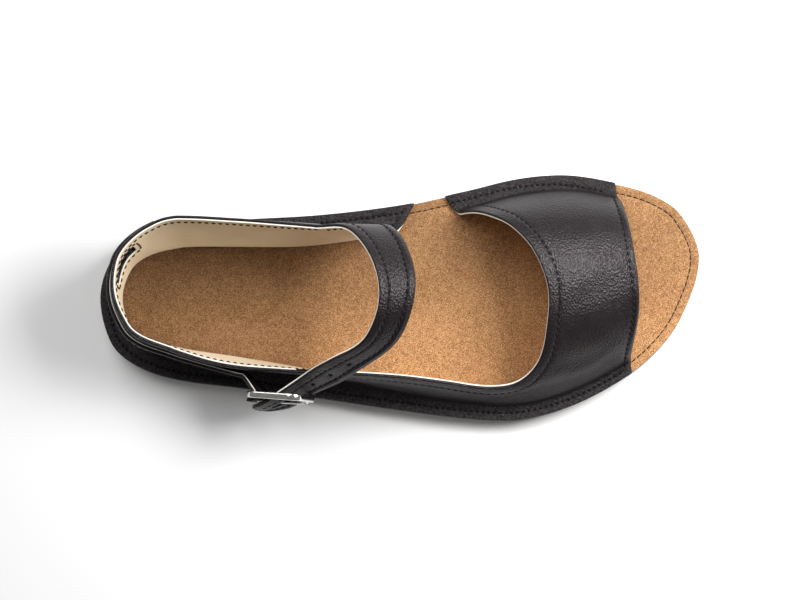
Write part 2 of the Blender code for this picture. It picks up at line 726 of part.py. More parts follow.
def main():
    """All pieces under one root, with the middle of their plan over the origin."""
    for leftover in list(bpy.data.objects):
        bpy.data.objects.remove(leftover)
    root = bpy.data.objects.new("sandal", None)
    bpy.context.scene.collection.objects.link(root)
    rubber = material("rubber", (0.045, 0.045, 0.048), 0.75)
    suede = material("suede", (0.48, 0.30, 0.15), 0.95)
    leather = material("leather", (0.03, 0.025, 0.026), 0.45)
    steel = material("steel", (0.60, 0.60, 0.58), 0.30, 1.0)
    sole_slab("outsole", OUTSOLE_EDGE, rubber, root)
    sole_slab("footbed", FOOTBED_EDGE, suede, root)
    make_upper(leather, root)
    make_buckle_strap(leather, root)
    make_buckle(steel, root)
    plan = np.vstack([[v.co[:2] for v in body.data.vertices] for body in root.children])
    middle = (plan.min(axis=0) + plan.max(axis=0)) / 2.0
    root.location = (-middle[0], -middle[1], 0.0)


main()
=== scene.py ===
"""Looks of a right-foot barefoot sandal: lined leather upper, suede footbed, lattice outsole, buckle.

Sizes are in millimetres in the sandal's own directions, x from the heel end to the toe, y to the
medial side and z up from the floor. They become metres in the shared frame as each piece is made.
The upper's pattern has two directions: run along the foot, counted round the heel from its centre
back with the lateral side positive, and girth up the wall from the sole edge on that side.
"""

from math import cos, pi, radians, sin

import bmesh
import bpy
import numpy as np
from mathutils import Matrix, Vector
from mathutils.geometry import delaunay_2d_cdt
from mathutils.kdtree import KDTree


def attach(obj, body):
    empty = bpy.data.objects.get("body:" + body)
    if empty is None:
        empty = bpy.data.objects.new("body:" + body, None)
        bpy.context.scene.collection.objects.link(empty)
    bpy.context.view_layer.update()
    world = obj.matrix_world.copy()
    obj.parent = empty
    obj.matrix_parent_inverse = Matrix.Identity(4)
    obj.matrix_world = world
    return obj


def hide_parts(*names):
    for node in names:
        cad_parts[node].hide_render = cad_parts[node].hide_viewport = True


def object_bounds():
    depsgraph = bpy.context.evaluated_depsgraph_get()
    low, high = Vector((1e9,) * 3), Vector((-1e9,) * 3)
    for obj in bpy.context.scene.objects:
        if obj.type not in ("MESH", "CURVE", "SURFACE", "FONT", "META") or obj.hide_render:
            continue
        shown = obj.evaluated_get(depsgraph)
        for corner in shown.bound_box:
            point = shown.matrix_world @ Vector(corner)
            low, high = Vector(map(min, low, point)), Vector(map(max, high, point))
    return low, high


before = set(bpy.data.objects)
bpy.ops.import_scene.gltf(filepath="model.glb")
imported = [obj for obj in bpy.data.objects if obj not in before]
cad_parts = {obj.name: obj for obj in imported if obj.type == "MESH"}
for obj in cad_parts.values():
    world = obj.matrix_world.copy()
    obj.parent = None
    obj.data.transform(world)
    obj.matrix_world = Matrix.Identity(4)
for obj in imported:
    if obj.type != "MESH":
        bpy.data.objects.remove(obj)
cad_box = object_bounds()

MM = 0.001
CLEARANCE = 0.3

# Sole
OUTSOLE_THICKNESS = 4.0
FOOTBED_THICKNESS = 3.0
FOOTBED_BASE = OUTSOLE_THICKNESS + CLEARANCE
FOOTBED_TOP = FOOTBED_BASE + FOOTBED_THICKNESS
TOE_SPRING = 5.0
SPRING_START = 205.0
SPRING_LENGTH = 55.0

# Plan of the sole: x from the heel end, reach to the medial side, reach to the lateral side
OUTLINE = (
    (5.0, 18.0, 19.0),
    (15.0, 27.0, 28.2),
    (31.0, 32.2, 34.2),
    (60.0, 34.8, 38.2),
    (95.0, 36.9, 42.8),
    (130.0, 41.2, 47.9),
    (160.0, 47.6, 51.6),
    (182.0, 52.8, 52.0),
    (203.0, 54.3, 46.5),
    (224.0, 50.9, 36.0),
    (240.0, 46.0, 24.0),
    (252.0, 37.5, 8.0),
)
HEEL_END = (0.0, 1.0)
TOE_END = (260.0, 18.0)
OUTLINE_STEP = 1.5
TREAD_DEPTH = 0.6

# Outsole edge from the tread plate round the rim to the top: inset from the outline, height
OUTSOLE_EDGE = (
    (9.6, TREAD_DEPTH),
    (9.2, 0.15),
    (8.9, 0.15),
    (8.4, 0.9),
    (7.4, 0.9),
    (6.9, 0.2),
    (6.5, 0.15),
    (3.8, 0.35),
    (1.2, 0.55),
    (0.5, 0.8),
    (0.2, 1.3),
    (0.0, 2.0),
    (0.0, OUTSOLE_THICKNESS - 0.5),
    (0.1, OUTSOLE_THICKNESS - 0.2),
    (0.4, OUTSOLE_THICKNESS),
)
# Tread: diagonal lattice of small square knobs on the plate and two rows of dots on the rim
KNOB_PITCH = 2.5
KNOB_PROFILE = ((1.12, -0.1), (1.05, 0.1), (0.75, 0.48), (0.4, TREAD_DEPTH))
PLATE_INSET = 10.4
RIM_ROWS = (2.6, 4.9)
RIM_KNOB_PROFILE = ((0.7, -0.1), (0.6, 0.05), (0.25, 0.2))
CHANNEL_ROW = 7.9

FOOTBED_EDGE = (
    (0.7, FOOTBED_BASE),
    (0.35, FOOTBED_BASE + 0.3),
    (0.3, FOOTBED_BASE + 1.2),
    (0.3, FOOTBED_TOP - 0.9),
    (0.42, FOOTBED_TOP - 0.45),
    (0.7, FOOTBED_TOP - 0.15),
    (1.2, FOOTBED_TOP),
)
FOOTBED_ROW = 4.0
FOOTBED_GRID = 3.0

# Leather wall: lining inside, outer leather on it
WALL = 2.0
LINING = 0.6
LEATHER_BASE = LINING + 0.04
LEATHER_BULGE = 0.45
LINING_BULGE = 0.3
THINNEST_LEATHER = 0.35
BEND_RADIUS = 4.0
LONGEST_GIRTH = 200.0
GIRTH_STEP = 0.05
FLANGE_BASE = FOOTBED_TOP + CLEARANCE
HEEL_CENTRE = 36.0
HEEL_REFERENCE_RADIUS = 30.0
QUARTER_TURN = HEEL_REFERENCE_RADIUS * pi / 2.0
BACK_FLANGE = 6.0
# Between the medial and the lateral end of the heel's fan: degrees from the centre back, outward lean
HEEL_LEAN = (
    (-82.0, 21.0),
    (-68.0, 17.0),
    (-45.0, 9.0),
    (0.0, -3.0),
    (30.0, -5.0),
    (50.0, -1.5),
)

# Sections of the last: x, ridge offset, ridge height, then for the lateral and the medial side
# the wall's outward lean in degrees and its flange width, and how full the wall is near its
# foot and near the ridge
LAST = (
    (36.0, -1.0, 105.0, 4.5, 21.3, 10.0, 6.4, 0.62, 1.00),
    (56.0, -0.5, 97.0, 13.0, 21.3, 9.4, 7.8, 0.61, 0.95),
    (80.0, 0.0, 88.0, 9.5, 19.5, 8.6, 9.3, 0.60, 0.90),
    (120.0, 2.0, 69.0, -7.0, 8.0, 6.0, 8.5, 0.55, 0.70),
    (160.0, 4.0, 54.0, -14.0, -8.0, 5.0, 6.0, 0.50, 0.60),
    (200.0, 8.0, 43.0, -18.0, -12.0, 4.8, 4.8, 0.50, 0.58),
    (240.0, 12.0, 31.0, -25.0, -20.0, 4.6, 4.6, 0.50, 0.55),
    (262.0, 15.0, 26.0, -28.0, -24.0, 5.0, 5.0, 0.50, 0.55),
)
X, RIDGE_Y, RIDGE_Z, LATERAL_LEAN, MEDIAL_LEAN = range(5)
LATERAL_FLANGE, MEDIAL_FLANGE, FOOT_PULL, CROWN_PULL = range(5, 9)

# Edges of the upper's pattern, each row a run and a girth
FLANGE_EDGE = 0.4
COLLAR_AND_THROAT = (
    (-106.0, 52.0),
    (-98.0, 50.0),
    (-80.0, 48.5),
    (-50.0, 48.5),
    (-25.0, 48.5),
    (0.0, 48.0),
    (30.0, 46.0),
    (60.0, 43.0),
    (90.0, 39.5),
    (115.0, 36.0),
    (140.0, 34.0),
    (161.0, 30.0),
    (177.0, 26.0),
    (190.5, 28.0),
    (199.5, 38.0),
    (203.0, 56.0),
    (203.0, 70.0),
    (197.5, 87.0),
    (188.7, 102.5),
    (179.5, 116.5),
    (170.0, 136.0),
)
THROAT_MEDIAL_RUN = 161.0
TOE_MEDIAL_RUN = 234.5
TOE_EDGE = ((236.7, 88.0), (238.7, 69.0), (241.7, 39.0), (239.5, 14.0))
TOE_LATERAL_RUN = 241.2
QUARTER_FRONT_RUN = -147.0
QUARTER_FRONT = ((-142.5, 8.0), (-137.5, 17.0), (-134.5, 26.0), (-133.5, 33.0))
HEEL_WINDOW = ((-26.0, 28.5), (-26.0, 39.5), (-7.0, 39.5), (-7.0, 28.5))
WINDOW_CORNER = 2.0

# Ankle strap: inner face at the rear edge, then at the front edge, both x, y, z
ANKLE_STRAP = (
    (107.5, 26.0, 54.0, 126.0, 27.0, 43.0),
    (116.0, 17.0, 62.0, 131.3, 20.0, 52.0),
    (121.0, 4.0, 67.0, 135.4, 5.5, 60.5),
    (120.6, -8.0, 66.5, 133.7, -8.0, 60.5),
    (114.5, -20.0, 61.0, 127.0, -20.5, 53.5),
    (101.0, -27.4, 53.0, 110.5, -32.0, 43.5),
    (94.5, -30.6, 47.0, 104.5, -35.4, 37.0),
    (87.4, -35.0, 41.4, 93.2, -40.0, 28.8),
    (76.5, -42.0, 36.3, 84.0, -45.3, 24.5),
    (70.2, -45.3, 32.7, 76.0, -46.7, 21.1),
    (67.7, -46.0, 28.5, 70.6, -46.4, 22.2),
)
STRAP_WIDTH = 14.5
STRAP_ROOT_BLEND = 22.0
STRAP_NORMAL_BLEND = 14.0
STRAP_HOLE_RADIUS = 1.25
STRAP_HOLE_START = 18.0
STRAP_HOLE_PITCH = 11.0
STRAP_HOLES = 3

# Buckle
BUCKLE_CENTRE = (79.4, -42.7, 30.0)
BUCKLE_HEADING = (-28.0, 2.3, 0.0)
BUCKLE_DROP = 25.0
BUCKLE_LENGTH = 24.0
BUCKLE_HEIGHT = 18.0
BUCKLE_CORNER = 4.0
BUCKLE_WIRE = 1.2
BAND_DEPTH = 1.45
BAND_THICKNESS = 0.95
PRONG_WIRE = 0.7
PRONG_LIFT = BUCKLE_WIRE + CLEARANCE + PRONG_WIRE
PRONG_ROOM = PRONG_WIRE + CLEARANCE
SLOT_CORNER = 0.9 * PRONG_ROOM
BAND_SQUARE = 0.55
# Degrees round the rear bar where the prong's hook starts and ends
PRONG_HOOK = (-100.0, 90.0)
# Prong as shares of the half length: start and end of its straight, start and length of its taper
PRONG_START = 0.9
PRONG_TIP = -1.12
PRONG_TAPER_START = 0.3
PRONG_TAPER_LENGTH = 1.4
PRONG_TAPER = 0.35
PRONG_ENDS = (0.4, 0.85)

# Buckle strap round the outside of the heel: run, upper and lower girth, lift off the last
BUCKLE_STRAP = (
    (-39.0, 40.5, 28.0, 2.6),
    (-20.0, 40.5, 28.0, 2.6),
    (0.0, 40.0, 27.5, 2.7),
    (22.0, 39.5, 27.0, 2.9),
    (42.0, 37.5, 25.0, 3.0),
    (62.0, 35.5, 23.0, 3.1),
    (75.0, 34.0, 21.5, 4.2),
)
BUCKLE_STRAP_WIDTH = 12.5
BUCKLE_STRAP_THICKNESS = 1.7
BUCKLE_LINING = 0.4
BUCKLE_LEATHER_BASE = BUCKLE_LINING + 0.03
BUCKLE_LEATHER_BULGE = 0.25
BUCKLE_LINING_BULGE = 0.2
# Degrees round the rear bar where the fold starts and ends
FOLD_TURN = (-140.0, -300.0)
FOLD_NARROWING = 0.8
NOTCH_REACH = 0.8
NOTCH_WIDTH = 2.6
NOTCH_CORNER = 1.2

# Mesh sizes: steps and spacings
PATH_STEP = 1.0
EDGE_STEP = 1.2
SLOT_STEP = 0.6
BUCKLE_STEP = 0.6
SEARCH_STEP = 0.25
FILL_GRID = 2.1
FILL_SHARE = 0.55
SAME_POINT = 1e-5
GROOVE_STEP = 0.65
GROOVE_SIDES = (0.0, -0.6, 0.6, -1.3, 1.3)
EDGE_ROWS = (0.5, 1.2, 2.1)
CLOSEST_FILL = 0.6
# Mesh sizes: numbers of points, sides, rings and cells
SPLINE_POINTS = 24
BEND_POINTS = 13
WALL_POINTS = 57
CORNER_POINTS = 4
FOLD_POINTS = 17
MEDIAL_EDGE_POINTS = 16
ROOT_CELLS = 16
RIM_STEPS = 5
THREAD_SIDES = 6
THREAD_RINGS = 6
BUCKLE_CORNER_POINTS = 13
HOOK_POINTS = 25
PRONG_POINTS = 24
BAND_SIDES = 20
PRONG_SIDES = 12
# Degrees between faces past which an edge stays sharp
SHARP_ANGLE = 50.0
KNOB_SHARP_ANGLE = 30.0

# Sewing
STITCH_PITCH = 2.9
STITCH_GAP = 0.9
THREAD_RADIUS = 0.47
THREAD_END_SIZE = 0.5
THREAD_SINK = 0.25
THREAD_RISE = 0.12
THREAD_LIFT = 0.2
HEADING_REACH = 0.2
LINING_STITCH_LIFT = -0.02
FOOTBED_THREAD = 0.28
FOOTBED_THREAD_LIFT = 0.1
FOOTBED_RISE = 0.08
FOOTBED_GAP = 0.15
FLANGE_PITCH = 2.5
FLANGE_THREAD = 0.55
FLANGE_RISE = 0.3
CHANNEL_PITCH = 3.4
CHANNEL_THREAD_HEIGHT = 0.8
COLLAR_ROW = 4.2
STRAP_REAR_ROW = 3.9
STRAP_FRONT_ROW = 3.2
TOE_ROW = 2.3
FLANGE_ROW = 3.4
WINDOW_ROW = 2.0
BUCKLE_STRAP_ROW = 2.0
BUCKLE_STRAP_ROW_START = 3.0
STRAP_ROW_START = 0.5
STRAP_ROW_STOP = 4.0
ROW_FROM_FLANGE = 1.0
# Sewn lines of the upper that show outside, along its flange and on its lining
OUTER_ROWS = ("collar", "toe", "front", "strap_rear", "strap_front", "window")
FLANGE_ROWS = ("feet", "medial")
LINING_ROWS = ("collar", "strap_rear", "strap_front", "window")
# Points left off each end of a sewn line
ROW_TRIM = {"toe": 4, "feet": 3, "medial": 3}
GROOVE_DEPTH = 0.42
GROOVE_WIDTH = 0.6
EDGE_DROP = 0.15
EDGE_DROP_REACH = 1.8
RIDGE_RISE = 0.3
RIDGE_WIDTH = 0.8
RIDGE_BEFORE_ROW = 1.2

# Soft creases of the upper: run and girth of both ends, depth (negative rises), half width
CREASES = (
    (176.0, 16.0, 214.0, 22.0, 0.7, 3.5),
    (192.0, 15.0, 236.0, 20.0, 0.5, 3.0),
    (206.0, 34.0, 228.0, 27.0, 0.35, 3.5),
    (209.0, 60.0, 235.0, 56.0, 0.25, 4.0),
    (96.0, 14.0, 130.0, 17.0, 0.5, 3.0),
    (128.0, 22.0, 152.0, 16.0, 0.35, 2.5),
    (60.0, 15.0, 88.0, 19.0, 0.45, 3.0),
    (172.0, 152.0, 196.0, 146.0, 0.45, 3.0),
    (-84.0, 22.0, -120.0, 18.0, 0.4, 4.0),
    (-10.0, 14.0, 24.0, 13.0, 0.35, 3.0),
)
# Ridge beside a crease: its distance in half widths, its share of the depth
CREASE_RIDGE_PLACE = 2.0
CREASE_RIDGE_SHARE = 0.4

# Looks: heights between which the flange turns into the wall, places in the shared frame between
# which the suede's painted shading changes, and how the leather's grain is drawn out across the foot
FLANGE_LOOK_TOP = 10.0
WALL_LOOK_BASE = 13.0
HEEL_SUEDE_X = -125.0
TOE_SUEDE_X = 30.0
MEDIAL_SUEDE_Y = 30.0
LATERAL_SUEDE_Y = -25.0
# Painted shading of the suede's colour, from the heel to the toe and from the lateral to the medial side
HEEL_TO_TOE_PAINTED_SHADING = (0.46, 1.0)
LATERAL_TO_MEDIAL_PAINTED_SHADING = (1.2, 0.76)
GRAIN_STRETCH = (1.0, 0.7, 1.0)
NOISE_RANGE = (0.3, 0.7)

# Picture and light
CAMERA_TILT = 4.0
CAMERA_DISTANCE = 1000.0
CAMERA_TARGET = (130.0, 0.0, 7.0)
CAMERA_LENS = 103.5
FLOOR_REACH = 3.0
SKY_STRENGTH = 0.22
# Soft lights: name, place in metres, size in metres, power in watts
LIGHTS = (
    ("toe_light", (0.28, 0.12, 0.34), 0.24, 3.5),
    ("medial_light", (-0.70, 1.05, 1.25), 1.4, 24.0),
)


def smooth_step(value):
    value = np.clip(value, 0.0, 1.0)
    return value * value * (3.0 - 2.0 * value)


def hermite(t, start, slope_in, end, slope_out):
    """Cubic between two values with given slopes."""
    return (
        (2 * t**3 - 3 * t**2 + 1) * start
        + (t**3 - 2 * t**2 + t) * slope_in
        + (3 * t**2 - 2 * t**3) * end
        + (t**3 - t**2) * slope_out
    )


def spline(points, step, closed=False):
    """Smooth curve through a few points, resampled to about the given step."""
    points = np.array(points, float)
    if closed:
        padded = np.vstack((points[-1], points, points[:2]))
    else:
        padded = np.vstack((2 * points[0] - points[1], points, 2 * points[-1] - points[-2]))
    dense = []
    for before, start, end, after in zip(padded, padded[1:], padded[2:], padded[3:]):
        span = np.linalg.norm(end - start)
        lead = np.linalg.norm(start - before)
        tail = np.linalg.norm(after - end)
        slope_in = span * (end - before) / (span + lead)
        slope_out = span * (after - start) / (span + tail)
        for t in np.linspace(0.0, 1.0, SPLINE_POINTS, endpoint=False):
            dense.append(hermite(t, start, slope_in, end, slope_out))
    dense.append(points[0] if closed else points[-1])
    return resample(np.array(dense), step)


def path_marks(path):
    """Distance along a polyline at each of its points."""
    return np.concatenate(([0.0], np.cumsum(np.linalg.norm(np.diff(path, axis=0), axis=1))))


def read_along(table, marks, place):
    """Rows of a table read between its marks."""
    return np.column_stack([np.interp(place, marks, column) for column in table.T])


def resample(path, step):
    """Even points along a polyline, both ends kept."""
    marks = path_marks(path)
    count = max(2, int(round(marks[-1] / step)) + 1)
    return read_along(path, marks, np.linspace(0.0, marks[-1], count))


def smooth_table(stations, values, x):
    """Values of a table read smoothly between its stations."""
    slopes = np.gradient(values, stations)
    x = np.clip(x, stations[0], stations[-1])
    row = np.clip(np.searchsorted(stations, x) - 1, 0, len(stations) - 2)
    width = stations[row + 1] - stations[row]
    t = (x - stations[row]) / width
    return hermite(t, values[row], width * slopes[row], values[row + 1], width * slopes[row + 1])


def section_value(column, x):
    """One column of the LAST table, read smoothly between its rows."""
    table = np.array(LAST)
    return smooth_table(table[:, X], table[:, column], x)


def heel_lean(theta):
    """Outward lean of the heel wall, theta from centre back, lateral positive."""
    ends = (-90.0, LAST[0][MEDIAL_LEAN]), (90.0, LAST[0][LATERAL_LEAN])
    table = np.array((ends[0], *HEEL_LEAN, ends[1]))
    return smooth_table(table[:, 0], table[:, 1], np.degrees(theta))


def sole_outline():
    """Closed plan of the sole, from the heel end along the lateral side and back."""
    lateral = [(x, -reach) for x, _, reach in OUTLINE]
    medial = [(x, reach) for x, reach, _ in reversed(OUTLINE)]
    return spline([HEEL_END, *lateral, TOE_END, *medial], PATH_STEP, closed=True)


PLAN = sole_outline()
SHIFT = np.array((
    (cad_box[0].x + cad_box[1].x) / 2.0 - (PLAN[:, 0].min() + PLAN[:, 0].max()) / 2.0 * MM,
    (cad_box[0].y + cad_box[1].y) / 2.0 - (PLAN[:, 1].min() + PLAN[:, 1].max()) / 2.0 * MM,
    0.0,
))


def side_reach(x, lateral):
    """Distance from the middle line to the sole edge at x, on one side."""
    toe = int(np.argmax(PLAN[:, 0]))
    side = PLAN[: toe + 1] if lateral else PLAN[toe:][::-1]
    return np.abs(np.interp(x, side[:, 0], side[:, 1]))


def heel_reach(theta):
    """Distance from the heel centre to the sole edge, theta from centre back, lateral positive."""
    ridge = section_value(RIDGE_Y, HEEL_CENTRE)
    offset = PLAN[:-1] - (HEEL_CENTRE, ridge)
    angles = np.arctan2(-offset[:, 1], -offset[:, 0])
    order = np.argsort(angles)
    return np.interp(theta, angles[order], np.hypot(*offset[order].T))


def toe_spring(x):
    """Rise of the sole above the floor."""
    return TOE_SPRING * np.clip((x - SPRING_START) / SPRING_LENGTH, 0.0, None) ** 2


def half_section(reach, flange, lean, foot_pull, crown_pull, base, ridge_height):
    """Distance from the ridge and height, from the sole edge up to the ridge, row by row."""
    turn = np.linspace(0.0, 1.0, BEND_POINTS)[None, :] * (pi / 2.0 + np.radians(lean))[:, None]
    bend_x = (reach - flange)[:, None] - BEND_RADIUS * np.sin(turn)
    bend_z = base[:, None] + BEND_RADIUS * (1.0 - np.cos(turn))
    foot_x = bend_x[:, -1:]
    foot_z = bend_z[:, -1:]
    rise = foot_pull[:, None] * (ridge_height[:, None] - foot_z)
    pull_x = foot_x - rise * np.cos(turn[:, -1:])
    pull_z = foot_z + rise * np.sin(turn[:, -1:])
    crown_x = crown_pull[:, None] * foot_x
    t = np.linspace(0.0, 1.0, WALL_POINTS)[None, 1:]
    start, near, far, end = (1 - t) ** 3, 3 * t * (1 - t) ** 2, 3 * t**2 * (1 - t), t**3
    wall_x = start * foot_x + near * pull_x + far * crown_x
    wall_z = start * foot_z + near * pull_z + (far + end) * ridge_height[:, None]
    distance = np.hstack((reach[:, None], bend_x, wall_x))
    height = np.hstack((base[:, None], bend_z, wall_z))
    return distance, height


def last_point(run, girth):
    """Points of the last's surface at pattern positions."""
    run = np.atleast_1d(np.asarray(run, float))
    girth = np.atleast_1d(np.asarray(girth, float))
    lateral = run > 0.0
    theta = np.clip(run / HEEL_REFERENCE_RADIUS, -pi / 2.0, pi / 2.0)
    x = HEEL_CENTRE + np.clip(np.abs(run) - QUARTER_TURN, 0.0, None)
    fan = np.abs(run) < QUARTER_TURN
    back = np.where(fan, np.cos(theta) ** 2, 0.0)
    ridge = section_value(RIDGE_Y, x)
    lateral_reach = side_reach(x, True) + ridge
    medial_reach = side_reach(x, False) - ridge
    near_reach = np.where(fan, heel_reach(theta), np.where(lateral, lateral_reach, medial_reach))
    far_reach = np.where(lateral, medial_reach, lateral_reach)
    leans = section_value(LATERAL_LEAN, x), section_value(MEDIAL_LEAN, x)
    near_lean = np.where(fan, heel_lean(theta), np.where(lateral, *leans))
    far_lean = np.where(lateral, *leans[::-1])
    flanges = section_value(LATERAL_FLANGE, x), section_value(MEDIAL_FLANGE, x)
    near_flange = np.where(lateral, *flanges)
    far_flange = np.where(lateral, *flanges[::-1])
    near_flange = near_flange + back * (BACK_FLANGE - near_flange)
    base = FLANGE_BASE + toe_spring(x)
    shape = section_value(FOOT_PULL, x), section_value(CROWN_PULL, x), base, section_value(RIDGE_Z, x)
    near = half_section(near_reach, near_flange, near_lean, *shape)
    far = half_section(far_reach, far_flange, far_lean, *shape)
    distance = np.hstack((near[0], -far[0][:, -2::-1]))
    height = np.hstack((near[1], far[1][:, -2::-1]))
    steps = np.hypot(np.diff(distance), np.diff(height))
    along = np.hstack((np.zeros((len(run), 1)), np.cumsum(steps, axis=1)))
    rows = np.arange(len(run))
    index = np.clip((along <= girth[:, None]).sum(axis=1) - 1, 0, along.shape[1] - 2)
    part = (girth - along[rows, index]) / (along[rows, index + 1] - along[rows, index])
    d = distance[rows, index] + part * (distance[rows, index + 1] - distance[rows, index])
    z = height[rows, index] + part * (height[rows, index + 1] - height[rows, index])
    side = np.where(lateral, -1.0, 1.0)
    point_x = np.where(fan, x - d * np.cos(theta), x)
    point_y = np.where(fan, ridge - d * np.sin(theta), ridge + side * d)
    return np.column_stack((point_x, point_y, z))


def unit(vectors):
    return vectors / np.linalg.norm(vectors, axis=-1, keepdims=True)


def last_normal(run, girth):
    """Outward normals of the last's surface."""
    reach = 0.75
    across = last_point(run + reach, girth) - last_point(run - reach, girth)
    up = last_point(run, girth + reach) - last_point(run, girth - reach)
    return unit(np.cross(across, up))


def girth_to_ridge(run):
    """Girth from the sole edge to the ridge of the last."""
    marks = np.arange(0.0, LONGEST_GIRTH, GIRTH_STEP)
    points = last_point(np.full(len(marks), run), marks)
    return marks[int(np.argmax(points[:, 2]))]


def full_girth(run):
    """Girth of the whole section, from the sole edge on one side to the other."""
    return girth_to_ridge(run) + girth_to_ridge(-run)


def inside(points, loop):
    """Which points lie inside a closed loop."""
    hit = np.zeros(len(points), bool)
    for (x0, y0), (x1, y1) in zip(loop, np.roll(loop, -1, axis=0)):
        if y0 == y1:
            continue
        crosses = (y0 > points[:, 1]) != (y1 > points[:, 1])
        hit ^= crosses & (points[:, 0] < x0 + (points[:, 1] - y0) * (x1 - x0) / (y1 - y0))
    return hit


def distance_to(points, path):
    """Distance from flat points to a polyline."""
    best = np.full(len(points), np.inf)
    for start, end in zip(path[:-1], path[1:]):
        reach = end - start
        share = np.clip((points - start) @ reach / (reach @ reach), 0.0, 1.0)
        best = np.minimum(best, np.hypot(*(points - start - share[:, None] * reach).T))
    return best


def closed_path(loop):
    return np.vstack((loop, loop[:1]))


def beside(path, reach, closed=False):
    """Path moved to the right-hand side of its direction."""
    if closed:
        heading = np.roll(path, -1, axis=0) - np.roll(path, 1, axis=0)
    else:
        heading = np.gradient(path, axis=0)
    right = unit(np.column_stack((heading[:, 1], -heading[:, 0])))
    return path + right * np.reshape(reach, (-1, 1))


def far_from(points, taken, reach):
    """The points that lie further than a reach from those already taken."""
    tree = KDTree(len(taken))
    for index, (a, b) in enumerate(taken):
        tree.insert((a, b, 0.0), index)
    tree.balance()
    keep = [tree.find((a, b, 0.0))[2] > reach for a, b in points]
    return points[np.array(keep, bool)]


def hex_fill(low, high, grid):
    """Staggered rows of points over a rectangle."""
    rows = np.arange(low[1] + grid / 2.0, high[1], grid * sin(pi / 3.0))
    fill = []
    for number, y in enumerate(rows):
        xs = np.arange(low[0] + grid / 2.0 + (number % 2) * grid / 2.0, high[0], grid)
        fill.append(np.column_stack((xs, np.full(len(xs), y))))
    return np.vstack(fill)


def flat_mesh(loops, rows, grid):
    """Triangles inside the first loop and outside the others, closer along the given rows.

    Every loop runs clockwise round what it encloses. A row is a set of points and its spacing.
    """
    taken = np.vstack(loops)
    edges = []
    for loop in loops:
        first = len(edges)
        edges += [(first + i, first + (i + 1) % len(loop)) for i in range(len(loop))]
    fill = hex_fill(taken.min(axis=0), taken.max(axis=0), grid)
    for points, spacing in [*rows, (fill, grid)]:
        keep = inside(points, loops[0])
        for hole in loops[1:]:
            keep &= ~inside(points, hole)
        points = points[keep]
        if len(points):
            taken = np.vstack((taken, far_from(points, taken, spacing * FILL_SHARE)))
    verts, _, faces, *_ = delaunay_2d_cdt([Vector(p) for p in taken], edges, [], 1, SAME_POINT)
    flat = np.array([tuple(v) for v in verts])
    faces = np.array([tuple(face) for face in faces])
    middles = flat[faces].mean(axis=1)
    solid = np.ones(len(faces), bool)
    for hole in loops[1:]:
        solid &= ~inside(middles, hole)
    return flat, faces[solid]


def groove_rows(path):
    """Rows of points along and beside a sewn line."""
    path = resample(path, GROOVE_STEP)
    return [(beside(path, reach), GROOVE_STEP) for reach in GROOVE_SIDES]


def edge_rows(loop):
    """Rows of points just inside an edge."""
    return [(beside(loop, reach, closed=True), max(reach, CLOSEST_FILL)) for reach in EDGE_ROWS]


def leather_mesh(loops, sewn):
    """Flat mesh of a leather pattern, closer along its sewn lines and its outline."""
    rows = [row for path in sewn for row in groove_rows(path)]
    return flat_mesh(loops, rows + edge_rows(loops[0]), FILL_GRID)


def groove(distance):
    return GROOVE_DEPTH * np.exp(-((distance / GROOVE_WIDTH) ** 2))


def turned_edge(distance, row):
    """Height of the leather near a turned edge, with a low ridge before its sewn row."""
    drop = EDGE_DROP * (1.0 - smooth_step(distance / EDGE_DROP_REACH))
    ridge = RIDGE_RISE * np.exp(-(((distance - row + RIDGE_BEFORE_ROW) / RIDGE_WIDTH) ** 2))
    return ridge - drop


def crease_lift(flat):
    """Soft troughs and ridges of the worn leather."""
    lift = np.zeros(len(flat))
    for run0, girth0, run1, girth1, depth, width in CREASES:
        start = np.array((run0, girth0))
        reach = np.array((run1, girth1)) - start
        share = (flat - start) @ reach / (reach @ reach)
        near = np.hypot(*(flat - start - np.clip(share, 0.0, 1.0)[:, None] * reach).T)
        fade = np.sin(pi * np.clip(share, 0.0, 1.0)) ** 0.5
        trough = np.exp(-((near / width) ** 2))
        ridge = np.exp(-(((near - CREASE_RIDGE_PLACE * width) / width) ** 2))
        lift -= depth * fade * (trough - CREASE_RIDGE_SHARE * ridge)
    return lift


# Upper


def rounded_loop(corners, corner_radius, step):
    """Closed loop through corners given clockwise, each of them rounded."""
    corners = np.array(corners, float)
    loop = []
    for before, corner, after in zip(np.roll(corners, 1, axis=0), corners, np.roll(corners, -1, axis=0)):
        come = corner + unit(before - corner) * corner_radius
        leave = corner + unit(after - corner) * corner_radius
        for t in np.linspace(0.0, 1.0, CORNER_POINTS):
            loop.append((1 - t) ** 2 * come + 2 * t * (1 - t) * corner + t**2 * leave)
    return resample(closed_path(np.array(loop)), step)[:-1]


def upper_paths():
    """The edges of the upper's pattern by name, run clockwise, without the strap."""
    throat_end = (THROAT_MEDIAL_RUN, full_girth(THROAT_MEDIAL_RUN) - FLANGE_EDGE)
    throat = spline(COLLAR_AND_THROAT, EDGE_STEP)
    throat = np.vstack((throat, resample(np.array((throat[-1], throat_end)), EDGE_STEP)[1:]))
    medial_runs = np.linspace(THROAT_MEDIAL_RUN, TOE_MEDIAL_RUN, MEDIAL_EDGE_POINTS)
    medial = spline([(run, full_girth(run) - FLANGE_EDGE) for run in medial_runs], EDGE_STEP)
    toe_end = (TOE_LATERAL_RUN, FLANGE_EDGE)
    toe = spline([medial[-1], *TOE_EDGE, toe_end], EDGE_STEP)
    feet = resample(np.array((toe_end, (QUARTER_FRONT_RUN, FLANGE_EDGE))), EDGE_STEP)
    front = spline([feet[-1], *QUARTER_FRONT], EDGE_STEP)
    shares = np.linspace(0.0, 1.0, ROOT_CELLS + 1)[:, None]
    root = front[-1] + shares * (throat[0] - front[-1])
    return {"throat": throat, "medial": medial, "toe": toe, "feet": feet, "front": front, "root": root}


